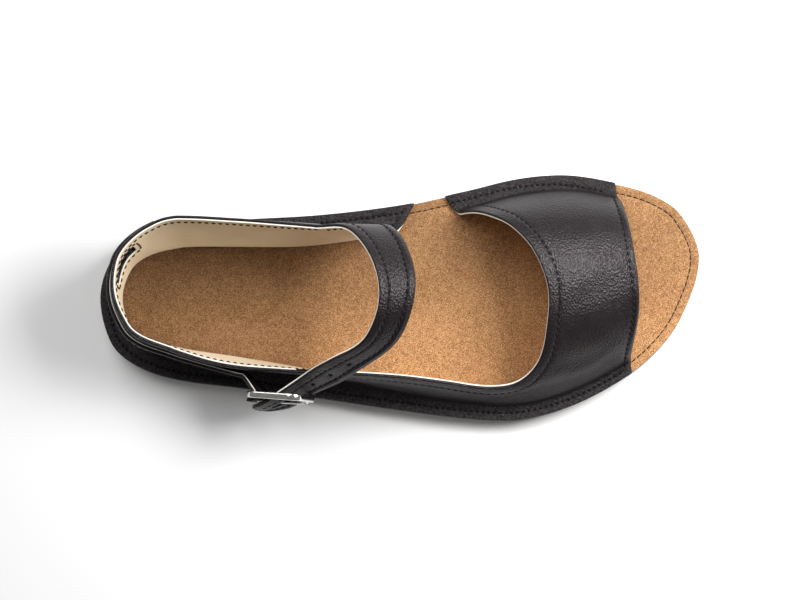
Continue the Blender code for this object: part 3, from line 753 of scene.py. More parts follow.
def sewn_rows(paths):
    """Sewn lines of the upper's pattern by name."""
    outline = np.vstack([path[:-1] for path in paths.values()])
    rows = {
        "collar": beside(paths["throat"], COLLAR_ROW),
        "toe": beside(paths["toe"], TOE_ROW),
        "feet": beside(paths["feet"], FLANGE_ROW - FLANGE_EDGE),
        "medial": beside(paths["medial"], FLANGE_ROW - FLANGE_EDGE),
        "front": beside(paths["front"], STRAP_FRONT_ROW),
    }
    flange = np.vstack((paths["medial"][:-1], paths["toe"][:-1], paths["feet"]))
    for name in ("collar", "front"):
        path = rows[name]
        clear = distance_to(path, flange) > FLANGE_ROW + ROW_FROM_FLANGE
        rows[name] = path[inside(path, outline) & clear]
    for name, trim in ROW_TRIM.items():
        rows[name] = rows[name][trim:-trim]
    return rows


def between(edges, share):
    """Points a share of the way from one edge to the other, both in one row of six numbers."""
    return edges[:, :3] * (1.0 - share[:, None]) + edges[:, 3:] * share[:, None]


class AnkleStrap:
    """Inner face of the ankle strap, read at a distance along it and a share across it."""

    def __init__(self, root_base, root_normal):
        ends = np.hstack((root_base[0], root_base[-1]))
        self.path = spline([ends, *ANKLE_STRAP], PATH_STEP)
        # A row holds two edges, so its path is about the root of two times as long as one
        self.length = np.linalg.norm(np.diff(self.path, axis=0), axis=1).sum() / 2.0**0.5
        self.marks = np.linspace(0.0, self.length, len(self.path))
        self.root_base = root_base
        self.root_normal = root_normal
        self.root_shares = np.linspace(0.0, 1.0, len(root_base))

    def root_value(self, table, share):
        return read_along(table, self.root_shares, share)

    def point(self, along, share):
        straight = between(read_along(self.path, self.marks, along), share)
        first = between(self.path[:1], share)
        fade = np.clip(1.0 - along / STRAP_ROOT_BLEND, 0.0, 1.0) ** 2
        return straight + fade[:, None] * (self.root_value(self.root_base, share) - first)

    def normal(self, along, share):
        reach, part = 1.0, 0.06
        low, high = np.clip(along - reach, 0.0, None), np.clip(along + reach, None, self.length)
        rear, front = np.clip(share - part, 0.0, None), np.clip(share + part, None, 1.0)
        forward = self.point(high, share) - self.point(low, share)
        across = self.point(along, front) - self.point(along, rear)
        blend = smooth_step(along / STRAP_NORMAL_BLEND)[:, None]
        mixed = unit(np.cross(forward, across)) * blend
        return unit(mixed + self.root_value(self.root_normal, share) * (1.0 - blend))

    def width(self, along):
        edges = read_along(self.path, self.marks, along)
        return np.linalg.norm(edges[:, 3:] - edges[:, :3], axis=1)

    def slot(self):
        """Stretch along the strap where the prong passes through it."""
        along = np.arange(0.0, self.length, SEARCH_STEP)
        middle = self.point(along, np.full(len(along), 0.5))
        place = buckle_place(middle)
        met = (place[:, 2] + WALL > PRONG_LIFT - PRONG_ROOM) & (place[:, 2] < PRONG_LIFT + PRONG_ROOM)
        met &= np.abs(place[:, 0]) < BUCKLE_LENGTH / 2.0
        return along[met].min(), along[met].max()


def buckle_axes():
    """The buckle's directions as rows: down the strap, up the wall and off the wall."""
    heading = np.array(BUCKLE_HEADING) / np.linalg.norm(BUCKLE_HEADING)
    up = np.array((0.0, 0.0, 1.0))
    drop = radians(BUCKLE_DROP)
    down_strap = cos(drop) * heading - sin(drop) * up
    up_wall = sin(drop) * heading + cos(drop) * up
    return np.array((down_strap, up_wall, np.cross(up, heading)))


def buckle_point(places):
    """Points in the buckle's own directions, from its centre."""
    return np.array(BUCKLE_CENTRE) + np.asarray(places, float) @ buckle_axes()


def buckle_place(points):
    """Points read in the buckle's own directions, from its centre."""
    return (points - BUCKLE_CENTRE) @ buckle_axes().T


def circle(centre, radius, sides=12):
    """Small round hole, run clockwise."""
    turn = -np.arange(sides) * 2.0 * pi / sides
    return np.array(centre) + radius * np.column_stack((np.cos(turn), np.sin(turn)))


class Ribbon:
    """Inner face of a strap between two edge paths, read along it and across it."""

    def __init__(self, edges):
        self.path = edges
        self.marks = path_marks((edges[:, :3] + edges[:, 3:]) / 2.0)
        self.length = self.marks[-1]

    def point(self, along, share):
        return between(read_along(self.path, self.marks, along), share)

    def normal(self, along, share):
        reach = 0.6
        low, high = np.clip(along - reach, 0.0, None), np.clip(along + reach, None, self.length)
        forward = self.point(high, share) - self.point(low, share)
        across = self.point(along, np.ones(len(along))) - self.point(along, np.zeros(len(along)))
        return unit(np.cross(forward, across))


def buckle_strap_edges():
    """Lower and upper edge of the buckle strap's inner face, then round the buckle's rear bar."""
    table = spline(BUCKLE_STRAP, PATH_STEP)
    sides = []
    for girth in (2, 1):
        run = table[:, 0]
        lift = table[:, 3, None]
        sides.append(last_point(run, table[:, girth]) + lift * last_normal(run, table[:, girth]))
    wall = np.hstack(sides)
    half = BUCKLE_STRAP_WIDTH / 2.0 - FOLD_NARROWING
    rear = BUCKLE_LENGTH / 2.0
    bend = BUCKLE_WIRE + CLEARANCE + BUCKLE_STRAP_THICKNESS
    turn = np.radians(np.linspace(*FOLD_TURN, FOLD_POINTS))
    fold = [(rear + bend * cos(a), bend * sin(a)) for a in turn]
    low_fold = buckle_point([(along, -half, out) for along, out in fold])
    high_fold = buckle_point([(along, half, out) for along, out in fold])
    folded_end = np.hstack((low_fold, high_fold))
    # The crossing leaves in the wall's direction and meets the fold in its own
    crossing = spline((wall[-5], wall[-1], folded_end[0], folded_end[2]), PATH_STEP)
    leaves = int(np.argmin(np.linalg.norm(crossing - wall[-1], axis=1))) + 1
    meets = int(np.argmin(np.linalg.norm(crossing - folded_end[0], axis=1)))
    return np.vstack((wall, crossing[leaves:meets], folded_end))


def upper_sheet():
    """Inner surface of the upper with its strap, the leather's height over it, and its sewn lines."""
    paths = upper_paths()
    outline = np.vstack([path[:-1] for path in paths.values()])
    root = np.append(np.arange(len(outline) - ROOT_CELLS, len(outline)), 0)[::-1]
    window = rounded_loop(HEEL_WINDOW, WINDOW_CORNER, EDGE_STEP)
    sewn = sewn_rows(paths)
    sewn["window"] = closed_path(beside(window, -WINDOW_ROW, closed=True))
    flat, faces = leather_mesh([outline, window], sewn.values())
    base = last_point(*flat.T)
    normal = last_normal(*flat.T)
    height = WALL + crease_lift(flat)
    for name, row in (("throat", COLLAR_ROW), ("toe", TOE_ROW), ("front", STRAP_FRONT_ROW)):
        height += turned_edge(distance_to(flat, paths[name]), row)
    for path in sewn.values():
        height -= groove(distance_to(flat, path))

    strap = AnkleStrap(base[root], normal[root])
    strap_flat, strap_faces, strap_rows = strap_mesh(strap)
    along = strap_flat[:, 0]
    share = strap_flat[:, 1] / STRAP_WIDTH
    width = strap.width(along)
    strap_height = np.full(len(strap_flat), WALL)
    for distance, row in ((share * width, STRAP_REAR_ROW), ((1.0 - share) * width, STRAP_FRONT_ROW)):
        strap_height += turned_edge(distance, row)
    for path in strap_rows:
        strap_height -= groove(distance_to(strap_flat, path))

    welded = len(root)
    number = np.concatenate((root, len(flat) + np.arange(len(strap_flat) - welded)))
    sheet = {
        "base": np.vstack((base, strap.point(along, share)[welded:])),
        "normal": np.vstack((normal, strap.normal(along, share)[welded:])),
        "faces": np.vstack((faces, number[strap_faces])),
        "height": np.concatenate((height, strap_height[welded:])),
    }
    sheet["height"] = np.maximum(sheet["height"], LEATHER_BASE + THINNEST_LEATHER)
    lines = {name: (last_point(*path.T), last_normal(*path.T)) for name, path in sewn.items()}
    for name, path in zip(("strap_rear", "strap_front"), strap_rows):
        place = path[:, 0], path[:, 1] / STRAP_WIDTH
        lines[name] = (strap.point(*place), strap.normal(*place))
    return sheet, lines


def strap_mesh(strap):
    """Flat mesh of the ankle strap with its holes, and its two sewn lines."""
    length = strap.length
    root = np.column_stack((np.zeros(ROOT_CELLS + 1), np.linspace(0.0, STRAP_WIDTH, ROOT_CELLS + 1)))
    corners = ((0.0, STRAP_WIDTH), (length, STRAP_WIDTH), (length, 0.0), (0.0, 0.0))
    edges = [resample(np.array(pair), EDGE_STEP)[1:] for pair in zip(corners, corners[1:])]
    outline = np.vstack((root, *edges))[:-1]
    slot_start, slot_end = strap.slot()
    middle = STRAP_WIDTH / 2.0
    low, high = middle - PRONG_ROOM, middle + PRONG_ROOM
    slot = ((slot_start, low), (slot_start, high), (slot_end, high), (slot_end, low))
    loops = [outline, rounded_loop(slot, SLOT_CORNER, SLOT_STEP)]
    first_hole = (slot_start + slot_end) / 2.0 - STRAP_HOLE_START
    for number in range(STRAP_HOLES):
        loops.append(circle((first_hole - number * STRAP_HOLE_PITCH, middle), STRAP_HOLE_RADIUS))
    along = np.arange(STRAP_ROW_START, length - STRAP_ROW_STOP, GROOVE_STEP)
    root_share = 1.0 - smooth_step(along / STRAP_ROOT_BLEND)
    rear = STRAP_REAR_ROW + root_share * (COLLAR_ROW - STRAP_REAR_ROW)
    scale = STRAP_WIDTH / strap.width(along)
    sewn = [
        np.column_stack((along, rear * scale)),
        np.column_stack((along, STRAP_WIDTH - STRAP_FRONT_ROW * scale)),
    ]
    return *leather_mesh(loops, sewn), sewn


def buckle_strap_sheet():
    """Inner surface of the buckle strap, the leather's height over it, and its sewn lines."""
    ribbon = Ribbon(buckle_strap_edges())
    length, width = ribbon.length, BUCKLE_STRAP_WIDTH
    marks = np.arange(0.0, length, SEARCH_STEP)
    middle = ribbon.point(marks, np.full(len(marks), 0.5))
    place = buckle_place(middle)
    start = marks[place[:, 0] < BUCKLE_LENGTH / 2.0 + NOTCH_REACH].min()
    low, high = (width - NOTCH_WIDTH) / 2.0, (width + NOTCH_WIDTH) / 2.0
    corners = ((0.0, 0.0), (0.0, width), (length, width), (length, high),
               (start, high), (start, low), (length, low), (length, 0.0))
    outline = rounded_loop(corners, NOTCH_CORNER, EDGE_STEP / 2.0)
    along = np.arange(BUCKLE_STRAP_ROW_START, start, GROOVE_STEP)
    sewn = [np.column_stack((along, np.full(len(along), edge)))
            for edge in (BUCKLE_STRAP_ROW, width - BUCKLE_STRAP_ROW)]
    flat, faces = leather_mesh([outline], sewn)
    distance = distance_to(flat, closed_path(outline))
    height = BUCKLE_STRAP_THICKNESS + turned_edge(distance, BUCKLE_STRAP_ROW)
    for path in sewn:
        height -= groove(distance_to(flat, path))
    share = flat[:, 1] / width
    sheet = {
        "base": ribbon.point(flat[:, 0], share),
        "normal": ribbon.normal(flat[:, 0], share),
        "faces": faces,
        "height": np.maximum(height, BUCKLE_LINING + THINNEST_LEATHER),
    }
    lines = []
    for path in sewn:
        place = path[:, 0], path[:, 1] / width
        lines.append((ribbon.point(*place), ribbon.normal(*place)))
    return sheet, lines


def edge_loops(faces):
    """Vertex loops round the open edges of a mesh, in the direction of its faces."""
    pairs = np.vstack((faces[:, [0, 1]], faces[:, [1, 2]], faces[:, [2, 0]]))
    directed = set(map(tuple, pairs.tolist()))
    follow = {a: b for a, b in directed if (b, a) not in directed}
    loops = []
    while follow:
        start, at = follow.popitem()
        loop = [start]
        while at != start:
            loop.append(at)
            at = follow.pop(at)
        loops.append(np.array(loop))
    return loops


def shell(sheet, low, high, bulge):
    """Closed layer between two heights over a sheet, its edges rounded: points, faces, edge faces."""
    base, normal, faces = sheet["base"], sheet["normal"], sheet["faces"]
    bottom = base + normal * np.reshape(low, (-1, 1))
    top = base + normal * np.reshape(high, (-1, 1))
    count = len(base)
    points = [bottom, top]
    skin = [*faces[:, ::-1].tolist(), *(faces + count).tolist()]
    rim = []
    total = 2 * count
    for loop in edge_loops(faces):
        middle = (bottom[loop] + top[loop]) / 2.0
        half = (top[loop] - bottom[loop]) / 2.0
        heading = np.roll(middle, -1, axis=0) - np.roll(middle, 1, axis=0)
        outward = unit(np.cross(heading, normal[loop]))
        rings = [loop]
        for angle in np.linspace(-pi / 2.0, pi / 2.0, RIM_STEPS)[1:-1]:
            points.append(middle + half * sin(angle) + outward * bulge * cos(angle))
            rings.append(total + np.arange(len(loop)))
            total += len(loop)
        rings.append(loop + count)
        for lower, upper in zip(rings, rings[1:]):
            quads = np.column_stack((np.roll(upper, -1), upper, lower, np.roll(lower, -1)))
            rim += quads.tolist()
    return np.vstack(points), skin + rim, np.repeat((0, 1), (len(skin), len(rim)))


def thread(lines, pitch=STITCH_PITCH, radius=THREAD_RADIUS, gap=STITCH_GAP, rise=THREAD_RISE):
    """Stitches along lines of points and normals, each a short round thread with sunk ends."""
    sides, rings = THREAD_SIDES, THREAD_RINGS
    share = np.linspace(0.0, 1.0, rings)
    arch = np.sin(pi * share) ** 0.5
    points, faces = [], []
    total = 0
    for path, normals in lines:
        marks = path_marks(path)
        count = int(marks[-1] / pitch)
        starts = (np.arange(count) + 0.5) * marks[-1] / count - (pitch - gap) / 2.0
        place = (starts[:, None] + share * (pitch - gap)).ravel()
        at = read_along(path, marks, place)
        out = unit(read_along(normals, marks, place))
        ahead = read_along(path, marks, place + HEADING_REACH)
        behind = read_along(path, marks, place - HEADING_REACH)
        side = unit(np.cross(ahead - behind, out))
        lift = np.tile(arch * (THREAD_SINK + rise) - THREAD_SINK, count)[:, None]
        size = np.tile(radius * (THREAD_END_SIZE + (1.0 - THREAD_END_SIZE) * arch), count)[:, None]
        rows = []
        for angle in np.arange(sides) * 2.0 * pi / sides:
            rows.append(at + out * (lift + size * sin(angle)) + side * size * cos(angle))
        points.append(np.stack(rows, axis=1).reshape(-1, 3))
        ring = total + np.arange(count * rings * sides).reshape(count, rings, sides)
        following = np.roll(ring, -1, axis=2)
        quads = np.stack((ring[:, :-1], following[:, :-1], following[:, 1:], ring[:, 1:]), axis=-1)
        faces += quads.reshape(-1, 4).tolist()
        faces += ring[:, 0, ::-1].tolist() + ring[:, -1].tolist()
        total += ring.size
    return np.vstack(points), faces


def sole_ring(inset):
    """Closed loop a distance in from the sole's outline."""
    return beside(resample(PLAN, OUTLINE_STEP)[:-1], -inset, closed=True)


def on_sole(plan, height):
    """Flat points at a height of the sole, raised by its toe spring."""
    return np.column_stack((plan, height + toe_spring(plan[:, 0])))


def sole_layer(edge, groove_path=None):
    """A layer of the sole: an edge profile run round the outline, closed below and above."""
    rings = [sole_ring(inset) for inset, _ in edge]
    points = [on_sole(ring, height) for ring, (_, height) in zip(rings, edge)]
    faces = []
    count = len(rings[0])
    number = np.arange(count)
    for ring in range(len(edge) - 1):
        low, high = number + ring * count, number + (ring + 1) * count
        faces += np.column_stack((low, np.roll(low, -1), np.roll(high, -1), high)).tolist()
    total = count * len(edge)
    for ring, sewn in ((0, False), (len(edge) - 1, groove_path is not None)):
        flat, cap = flat_mesh([rings[ring]], groove_rows(groove_path) if sewn else [], FOOTBED_GRID)
        extra = flat[count:]
        level = np.full(len(extra), edge[ring][1])
        if sewn:
            level -= groove(distance_to(extra, groove_path))
        points.append(on_sole(extra, level))
        index = np.concatenate((ring * count + number, total + np.arange(len(extra))))
        faces += index[cap].tolist()
        total += len(extra)
    return np.vstack(points), faces


def inset_line(inset, height):
    """Closed line of points along the sole, with its upward normals."""
    points = on_sole(closed_path(sole_ring(inset)), height)
    return points, np.tile((0.0, 0.0, 1.0), (len(points), 1))


def knobs(centres, surface, profile):
    """Small square knobs that stand down from a surface, all in one mesh."""
    corners = np.array(((1.0, 0.0), (0.0, 1.0), (-1.0, 0.0), (0.0, -1.0)))
    levels = []
    for reach, drop in profile:
        plan = centres[:, None, :] + corners * reach
        height = np.broadcast_to((surface - drop)[:, None], plan.shape[:2])
        levels.append(np.dstack((plan, height + toe_spring(plan[:, :, 0]))))
    points = np.stack(levels, axis=1)
    number = np.arange(points.shape[0] * len(profile) * 4).reshape(-1, len(profile), 4)
    following = np.roll(number, -1, axis=2)
    quads = np.stack((number[:, :-1], number[:, 1:], following[:, 1:], following[:, :-1]), axis=-1)
    faces = quads.reshape(-1, 4).tolist()
    faces += number[:, 0].tolist() + number[:, -1, ::-1].tolist()
    return points.reshape(-1, 3), faces


def plate_knobs():
    """Diagonal lattice of knobs over the tread plate."""
    low, high = PLAN.min(axis=0), PLAN.max(axis=0)
    columns = np.arange(low[0], high[0], KNOB_PITCH)
    rows = np.arange(low[1], high[1], KNOB_PITCH)
    straight = np.stack(np.meshgrid(columns, rows), axis=-1).reshape(-1, 2)
    centres = np.vstack((straight, straight + KNOB_PITCH / 2.0))
    centres = centres[inside(centres, PLAN[:-1]) & (distance_to(centres, PLAN) > PLATE_INSET)]
    return knobs(centres, np.full(len(centres), TREAD_DEPTH), KNOB_PROFILE)


def rim_knobs():
    """Two staggered rows of small dots on the sloping rim."""
    centres, heights = [], []
    # The edge's rows from the side wall inwards, without those above it
    rim = np.array(OUTSOLE_EDGE)[::-1][3:]
    for number, inset in enumerate(RIM_ROWS):
        line = resample(closed_path(sole_ring(inset)), KNOB_PITCH / 2.0)[number:-1:2]
        centres.append(line)
        heights.append(np.full(len(line), np.interp(inset, *rim.T)))
    return knobs(np.vstack(centres), np.concatenate(heights), RIM_KNOB_PROFILE)


def swept(path, half_sizes, sides, closed, square=1.0):
    """Bar along a path in the buckle's directions, with a rounded section of the given half sizes."""
    path = np.array(path, float)
    if closed:
        heading = unit(np.roll(path, -1, axis=0) - np.roll(path, 1, axis=0))
        level = np.array((0.0, 0.0, 1.0))
    else:
        heading = unit(np.gradient(path, axis=0))
        level = np.array((0.0, 1.0, 0.0))
    side = np.cross(heading, level)
    half_sizes = np.broadcast_to(half_sizes, (len(path), 2))
    rings = []
    for angle in np.arange(sides) * 2.0 * pi / sides:
        across = np.sign(cos(angle)) * abs(cos(angle)) ** square
        along = np.sign(sin(angle)) * abs(sin(angle)) ** square
        rings.append(path + side * half_sizes[:, :1] * across + level * half_sizes[:, 1:] * along)
    points = np.stack(rings, axis=1)
    number = np.arange(len(path) * sides).reshape(-1, sides)
    following = np.roll(number, -1, axis=1)
    ahead, ahead_following = np.roll(number, -1, axis=0), np.roll(following, -1, axis=0)
    quads = np.stack((number, following, ahead_following, ahead), axis=-1)
    if not closed:
        quads = quads[:-1]
    faces = quads.reshape(-1, 4).tolist()
    if not closed:
        faces += [number[0].tolist(), number[-1].tolist()]
    return buckle_point(points.reshape(-1, 3)), faces


def buckle_loop():
    """Middle line of the buckle's frame, a rectangle with round corners."""
    corner_x = BUCKLE_LENGTH / 2.0 - BUCKLE_CORNER
    corner_y = BUCKLE_HEIGHT / 2.0 - BUCKLE_CORNER
    loop = []
    for quarter, (sx, sy) in enumerate(((1, 1), (-1, 1), (-1, -1), (1, -1))):
        for angle in np.linspace(0.0, pi / 2.0, BUCKLE_CORNER_POINTS) + quarter * pi / 2.0:
            x = sx * corner_x + BUCKLE_CORNER * cos(angle)
            y = sy * corner_y + BUCKLE_CORNER * sin(angle)
            loop.append((x, y, 0.0))
    return resample(closed_path(np.array(loop)), BUCKLE_STEP)[:-1]


def prong_path():
    """Middle line of the prong and its thickness, from its hook to its tip over the front bar."""
    rear = BUCKLE_LENGTH / 2.0
    turn = np.radians(np.linspace(*PRONG_HOOK, HOOK_POINTS))
    hook = [(rear + PRONG_LIFT * cos(a), 0.0, PRONG_LIFT * sin(a)) for a in turn]
    shares = np.linspace(PRONG_START, PRONG_TIP, PRONG_POINTS)
    straight = [(share * rear, 0.0, PRONG_LIFT) for share in shares]
    path = np.array(hook + straight)
    taper = PRONG_TAPER * smooth_step((PRONG_TAPER_START - shares) / PRONG_TAPER_LENGTH)
    size = np.concatenate((np.ones(len(hook)), 1.0 - taper))
    size[-2:] *= PRONG_ENDS[::-1]
    size[:2] *= PRONG_ENDS
    return path, np.repeat(PRONG_WIRE * size[:, None], 2, axis=1)


# Materials


class Look:
    """A material under way: its node tree and the textures that the sandal's surfaces need."""

    def __init__(self, name):
        self.material = bpy.data.materials.new(name)
        self.material.use_nodes = True
        self.tree = self.material.node_tree
        self.coords = self.node("ShaderNodeTexCoord").outputs["Object"]

    def fill(self, sockets, values):
        """Sockets by name or number, each set or linked."""
        for name, value in values.items():
            if isinstance(value, bpy.types.NodeSocket):
                self.tree.links.new(value, sockets[name])
            else:
                sockets[name].default_value = value

    def node(self, kind, inputs=None, **settings):
        """A shader node with its settings made and its inputs set or linked."""
        made = self.tree.nodes.new(kind)
        for name, value in settings.items():
            setattr(made, name, value)
        self.fill(made.inputs, inputs or {})
        return made

    def noise(self, size, detail=3.0, roughness=0.5, distortion=0.0, coords=None):
        """Noise with features of about the given size in millimetres."""
        inputs = {"Vector": coords or self.coords, "Scale": 1.0 / (size * MM), "Detail": detail}
        inputs.update({"Roughness": roughness, "Distortion": distortion})
        return self.node("ShaderNodeTexNoise", inputs).outputs["Fac"]

    def cells(self, size, coords=None):
        """Distance in rounded cells of about the given size in millimetres."""
        inputs = {"Vector": coords or self.coords, "Scale": 1.0 / (size * MM)}
        return self.node("ShaderNodeTexVoronoi", inputs).outputs["Distance"]

    def calc(self, operation, first, second):
        return self.node("ShaderNodeMath", {0: first, 1: second}, operation=operation).outputs[0]

    def spread(self, value, low, high, to_low=0.0, to_high=1.0):
        """Value mapped from one range to another, smoothly and held at the ends."""
        inputs = {"Value": value, "From Min": low, "From Max": high, "To Min": to_low, "To Max": to_high}
        return self.node("ShaderNodeMapRange", inputs, interpolation_type="SMOOTHSTEP").outputs["Result"]

    def vary(self, noise, low, high):
        """Value that a noise takes from low to high over its usual range."""
        return self.spread(noise, *NOISE_RANGE, low, high)

    def ramp(self, factor, *stops):
        """Colour read from a few stops."""
        made = self.node("ShaderNodeValToRGB", {"Fac": factor})
        elements = made.color_ramp.elements
        while len(elements) < len(stops):
            elements.new(1.0)
        for element, (place, color) in zip(elements, stops):
            element.position = place
            element.color = (*color, 1.0)
        return made.outputs["Color"]

    def shades(self, noise, dark, light):
        """Colour that a noise takes from dark to light over its usual range."""
        return self.ramp(noise, *zip(NOISE_RANGE, (dark, light)))

    def bump(self, height, distance, strength=1.0, under=None):
        """Relief of a height from 0 to 1 that stands the given distance in millimetres."""
        inputs = {"Height": height, "Distance": distance * MM, "Strength": strength}
        if under is not None:
            inputs["Normal"] = under
        return self.node("ShaderNodeBump", inputs).outputs["Normal"]

    def finish(self, **inputs):
        """The material, its shader's inputs given by name with underscores for spaces."""
        shader = self.tree.nodes["Principled BSDF"]
        self.fill(shader.inputs, {name.replace("_", " "): value for name, value in inputs.items()})
        return self.material


def leather_material():
    """Pebbled black leather, rougher on the flange along the sole, where lighter flecks of colour are
    painted glints.
    """
    look = Look("black_leather")
    drawn_out = {0: look.coords, 1: GRAIN_STRETCH}
    stretched = look.node("ShaderNodeVectorMath", drawn_out, operation="MULTIPLY").outputs["Vector"]
    pebble = look.cells(0.7, stretched)
    wrinkle = look.noise(0.9, 4.0, 0.6, 0.8, stretched)
    patch = look.noise(20.0)
    rough = look.noise(0.9, 3.0, 0.65)
    height = look.node("ShaderNodeSeparateXYZ", {"Vector": look.coords}).outputs["Z"]
    wall = look.spread(height, FLANGE_LOOK_TOP * MM, WALL_LOOK_BASE * MM)
    grain = look.calc("MULTIPLY", pebble, look.vary(patch, 0.6, 1.0))
    relief = look.calc("ADD", grain, look.calc("MULTIPLY", wrinkle, 0.4))
    flange = look.bump(rough, 0.9, look.spread(wall, 0.0, 1.0, 1.0, 0.05))
    smooth = look.shades(patch, (0.0040, 0.0026, 0.0029), (0.0076, 0.0050, 0.0055))
    # Painted glints: on the flange the colour has lighter flecks that stand in for glints
    painted_glint_flecks = look.ramp(rough, (0.42, (0.0040, 0.0034, 0.0036)), (0.66, (0.0360, 0.0300, 0.0310)))
    both = look.node("ShaderNodeMix", {0: wall, 6: painted_glint_flecks, 7: smooth}, data_type="RGBA")
    dull = look.spread(wall, 0.0, 1.0, 0.04, 0.0)
    return look.finish(
        Base_Color=both.outputs[2],
        Roughness=look.calc("ADD", look.vary(wrinkle, 0.34, 0.43), dull),
        Normal=look.bump(relief, 0.26, 1.0, flange),
        Specular_IOR_Level=0.3,
        Specular_Tint=(1.0, 0.93, 0.94, 1.0),
    )


def lining_material():
    look = Look("cream_lining")
    pores = look.cells(0.8)
    cloud = look.noise(18.0, 4.0)
    fine = look.noise(0.7)
    return look.finish(
        Base_Color=look.shades(cloud, (0.68, 0.56, 0.385), (0.78, 0.67, 0.49)),
        Roughness=look.vary(cloud, 0.62, 0.75),
        Normal=look.bump(look.calc("ADD", pores, fine), 0.05, 0.5),
        Sheen_Weight=0.1,
    )


def cut_edge_material():
    look = Look("lining_cut_edge")
    fibre = look.noise(0.6, 4.0, 0.6)
    return look.finish(
        Base_Color=look.ramp(fibre, (0.3, (0.80, 0.75, 0.66)), (0.65, (0.93, 0.91, 0.86))),
        Roughness=look.vary(fibre, 0.7, 0.85),
        Normal=look.bump(fibre, 0.08, 0.6),
    )


def suede_material():
    """Tan suede with painted shading: darker towards the heel and the medial side, lighter on the
    lateral side.
    """
    look = Look("tan_suede")
    nap = look.noise(0.38, 2.0, 0.6)
    tuft = look.noise(1.6, 3.0, 0.6, 0.8)
    cloud = look.noise(16.0)
    tone = look.calc("ADD", look.calc("MULTIPLY", nap, 0.78), look.calc("MULTIPLY", tuft, 0.22))
    tone = look.calc("ADD", tone, look.calc("MULTIPLY", look.calc("SUBTRACT", cloud, 0.5), 0.1))
    color = look.ramp(
        tone,
        (0.38, (0.130, 0.058, 0.020)),
        (0.5, (0.31, 0.156, 0.065)),
        (0.62, (0.56, 0.31, 0.145)),
    )
    place = look.node("ShaderNodeSeparateXYZ", {"Vector": look.coords}).outputs
    # Painted shading: the colour is scaled darker towards the heel and the medial side, where shade
    # falls, and lighter on the lateral side, where light falls
    along = look.spread(place["X"], HEEL_SUEDE_X * MM, TOE_SUEDE_X * MM, *HEEL_TO_TOE_PAINTED_SHADING)
    across = look.spread(place["Y"], LATERAL_SUEDE_Y * MM, MEDIAL_SUEDE_Y * MM, *LATERAL_TO_MEDIAL_PAINTED_SHADING)
    painted_shading = look.calc("MULTIPLY", along, across)
    shaded_color = look.node("ShaderNodeVectorMath", {0: color, "Scale": painted_shading}, operation="SCALE")
    return look.finish(
        Base_Color=shaded_color.outputs["Vector"],
        Roughness=look.vary(nap, 0.88, 1.0),
        Normal=look.bump(look.calc("ADD", nap, tuft), 0.16, 0.7),
        Specular_IOR_Level=0.15,
        Sheen_Weight=0.25,
        Sheen_Roughness=0.5,
    )


def rubber_material():
    look = Look("black_rubber")
    cloud = look.noise(14.0, 4.0)
    fine = look.noise(0.45, 3.0, 0.6)
    return look.finish(
        Base_Color=look.shades(cloud, (0.034, 0.032, 0.031), (0.055, 0.052, 0.050)),
        Roughness=look.vary(fine, 0.58, 0.75),
        Normal=look.bump(fine, 0.04, 0.6),
        Specular_IOR_Level=0.4,
    )


def thread_material(name, dark, light):
    look = Look(name)
    twist = look.noise(0.35, 2.0, 0.6, 1.0)
    return look.finish(
        Base_Color=look.ramp(twist, (0.35, dark), (0.65, light)),
        Roughness=look.vary(twist, 0.6, 0.8),
        Normal=look.bump(twist, 0.08, 0.8),
        Specular_IOR_Level=0.12,
    )


def steel_material():
    look = Look("plated_steel")
    cloud = look.noise(3.0, 4.0)
    scratch = look.noise(0.3, 3.0, 0.7, 2.0)
    return look.finish(
        Base_Color=look.shades(cloud, (0.62, 0.61, 0.58), (0.78, 0.77, 0.74)),
        Metallic=1.0,
        Roughness=look.vary(scratch, 0.08, 0.18),
        Normal=look.bump(scratch, 0.01, 0.4),
    )


def floor_material():
    look = Look("pale_floor")
    cloud = look.noise(120.0)
    return look.finish(
        Base_Color=look.shades(cloud, (0.81, 0.81, 0.81), (0.83, 0.83, 0.83)),
        Roughness=0.9,
    )


# Pieces


def add_piece(name, shape, materials, node=None, sharp=SHARP_ANGLE):
    """A piece from points in millimetres, faces and, if there are several materials, their numbers."""
    points, faces, *numbers = shape
    mesh = bpy.data.meshes.new(name)
    mesh.from_pydata((np.asarray(points) * MM + SHIFT).tolist(), [], faces)
    for material in materials:
        mesh.materials.append(material)
    if len(materials) > 1:
        mesh.polygons.foreach_set("material_index", numbers[0].astype(np.int32))
    shape_mesh = bmesh.new()
    shape_mesh.from_mesh(mesh)
    bmesh.ops.recalc_face_normals(shape_mesh, faces=shape_mesh.faces)
    shape_mesh.to_mesh(mesh)
    shape_mesh.free()
    mesh.shade_smooth()
    mesh.set_sharp_from_angle(angle=radians(sharp))
    piece = bpy.data.objects.new(name, mesh)
    bpy.context.scene.collection.objects.link(piece)
    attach(piece, "root")
    if node:
        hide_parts(node)
    return piece


def darkened(shape):
    """A strap's lining with its third material on the edges outside the buckle and in the slots."""
    points, faces, numbers = shape
    middles = np.array([points[face].mean(axis=0) for face in faces])
    place = buckle_place(middles)
    past_frame = (place[:, 2] > -BUCKLE_WIRE) | (np.abs(place[:, 1]) < NOTCH_WIDTH)
    numbers[(numbers == 1) & past_frame & (np.abs(place[:, 0]) < BUCKLE_LENGTH)] = 2
    return points, faces, numbers


def raised(lines, lift):
    """Lines moved along their normals."""
    return [(points + normals * lift, normals) for points, normals in lines]


def turned_in(lines, lift):
    """Lines on the inner face, their normals towards the foot."""
    return [(points + normals * lift, -normals) for points, normals in lines]


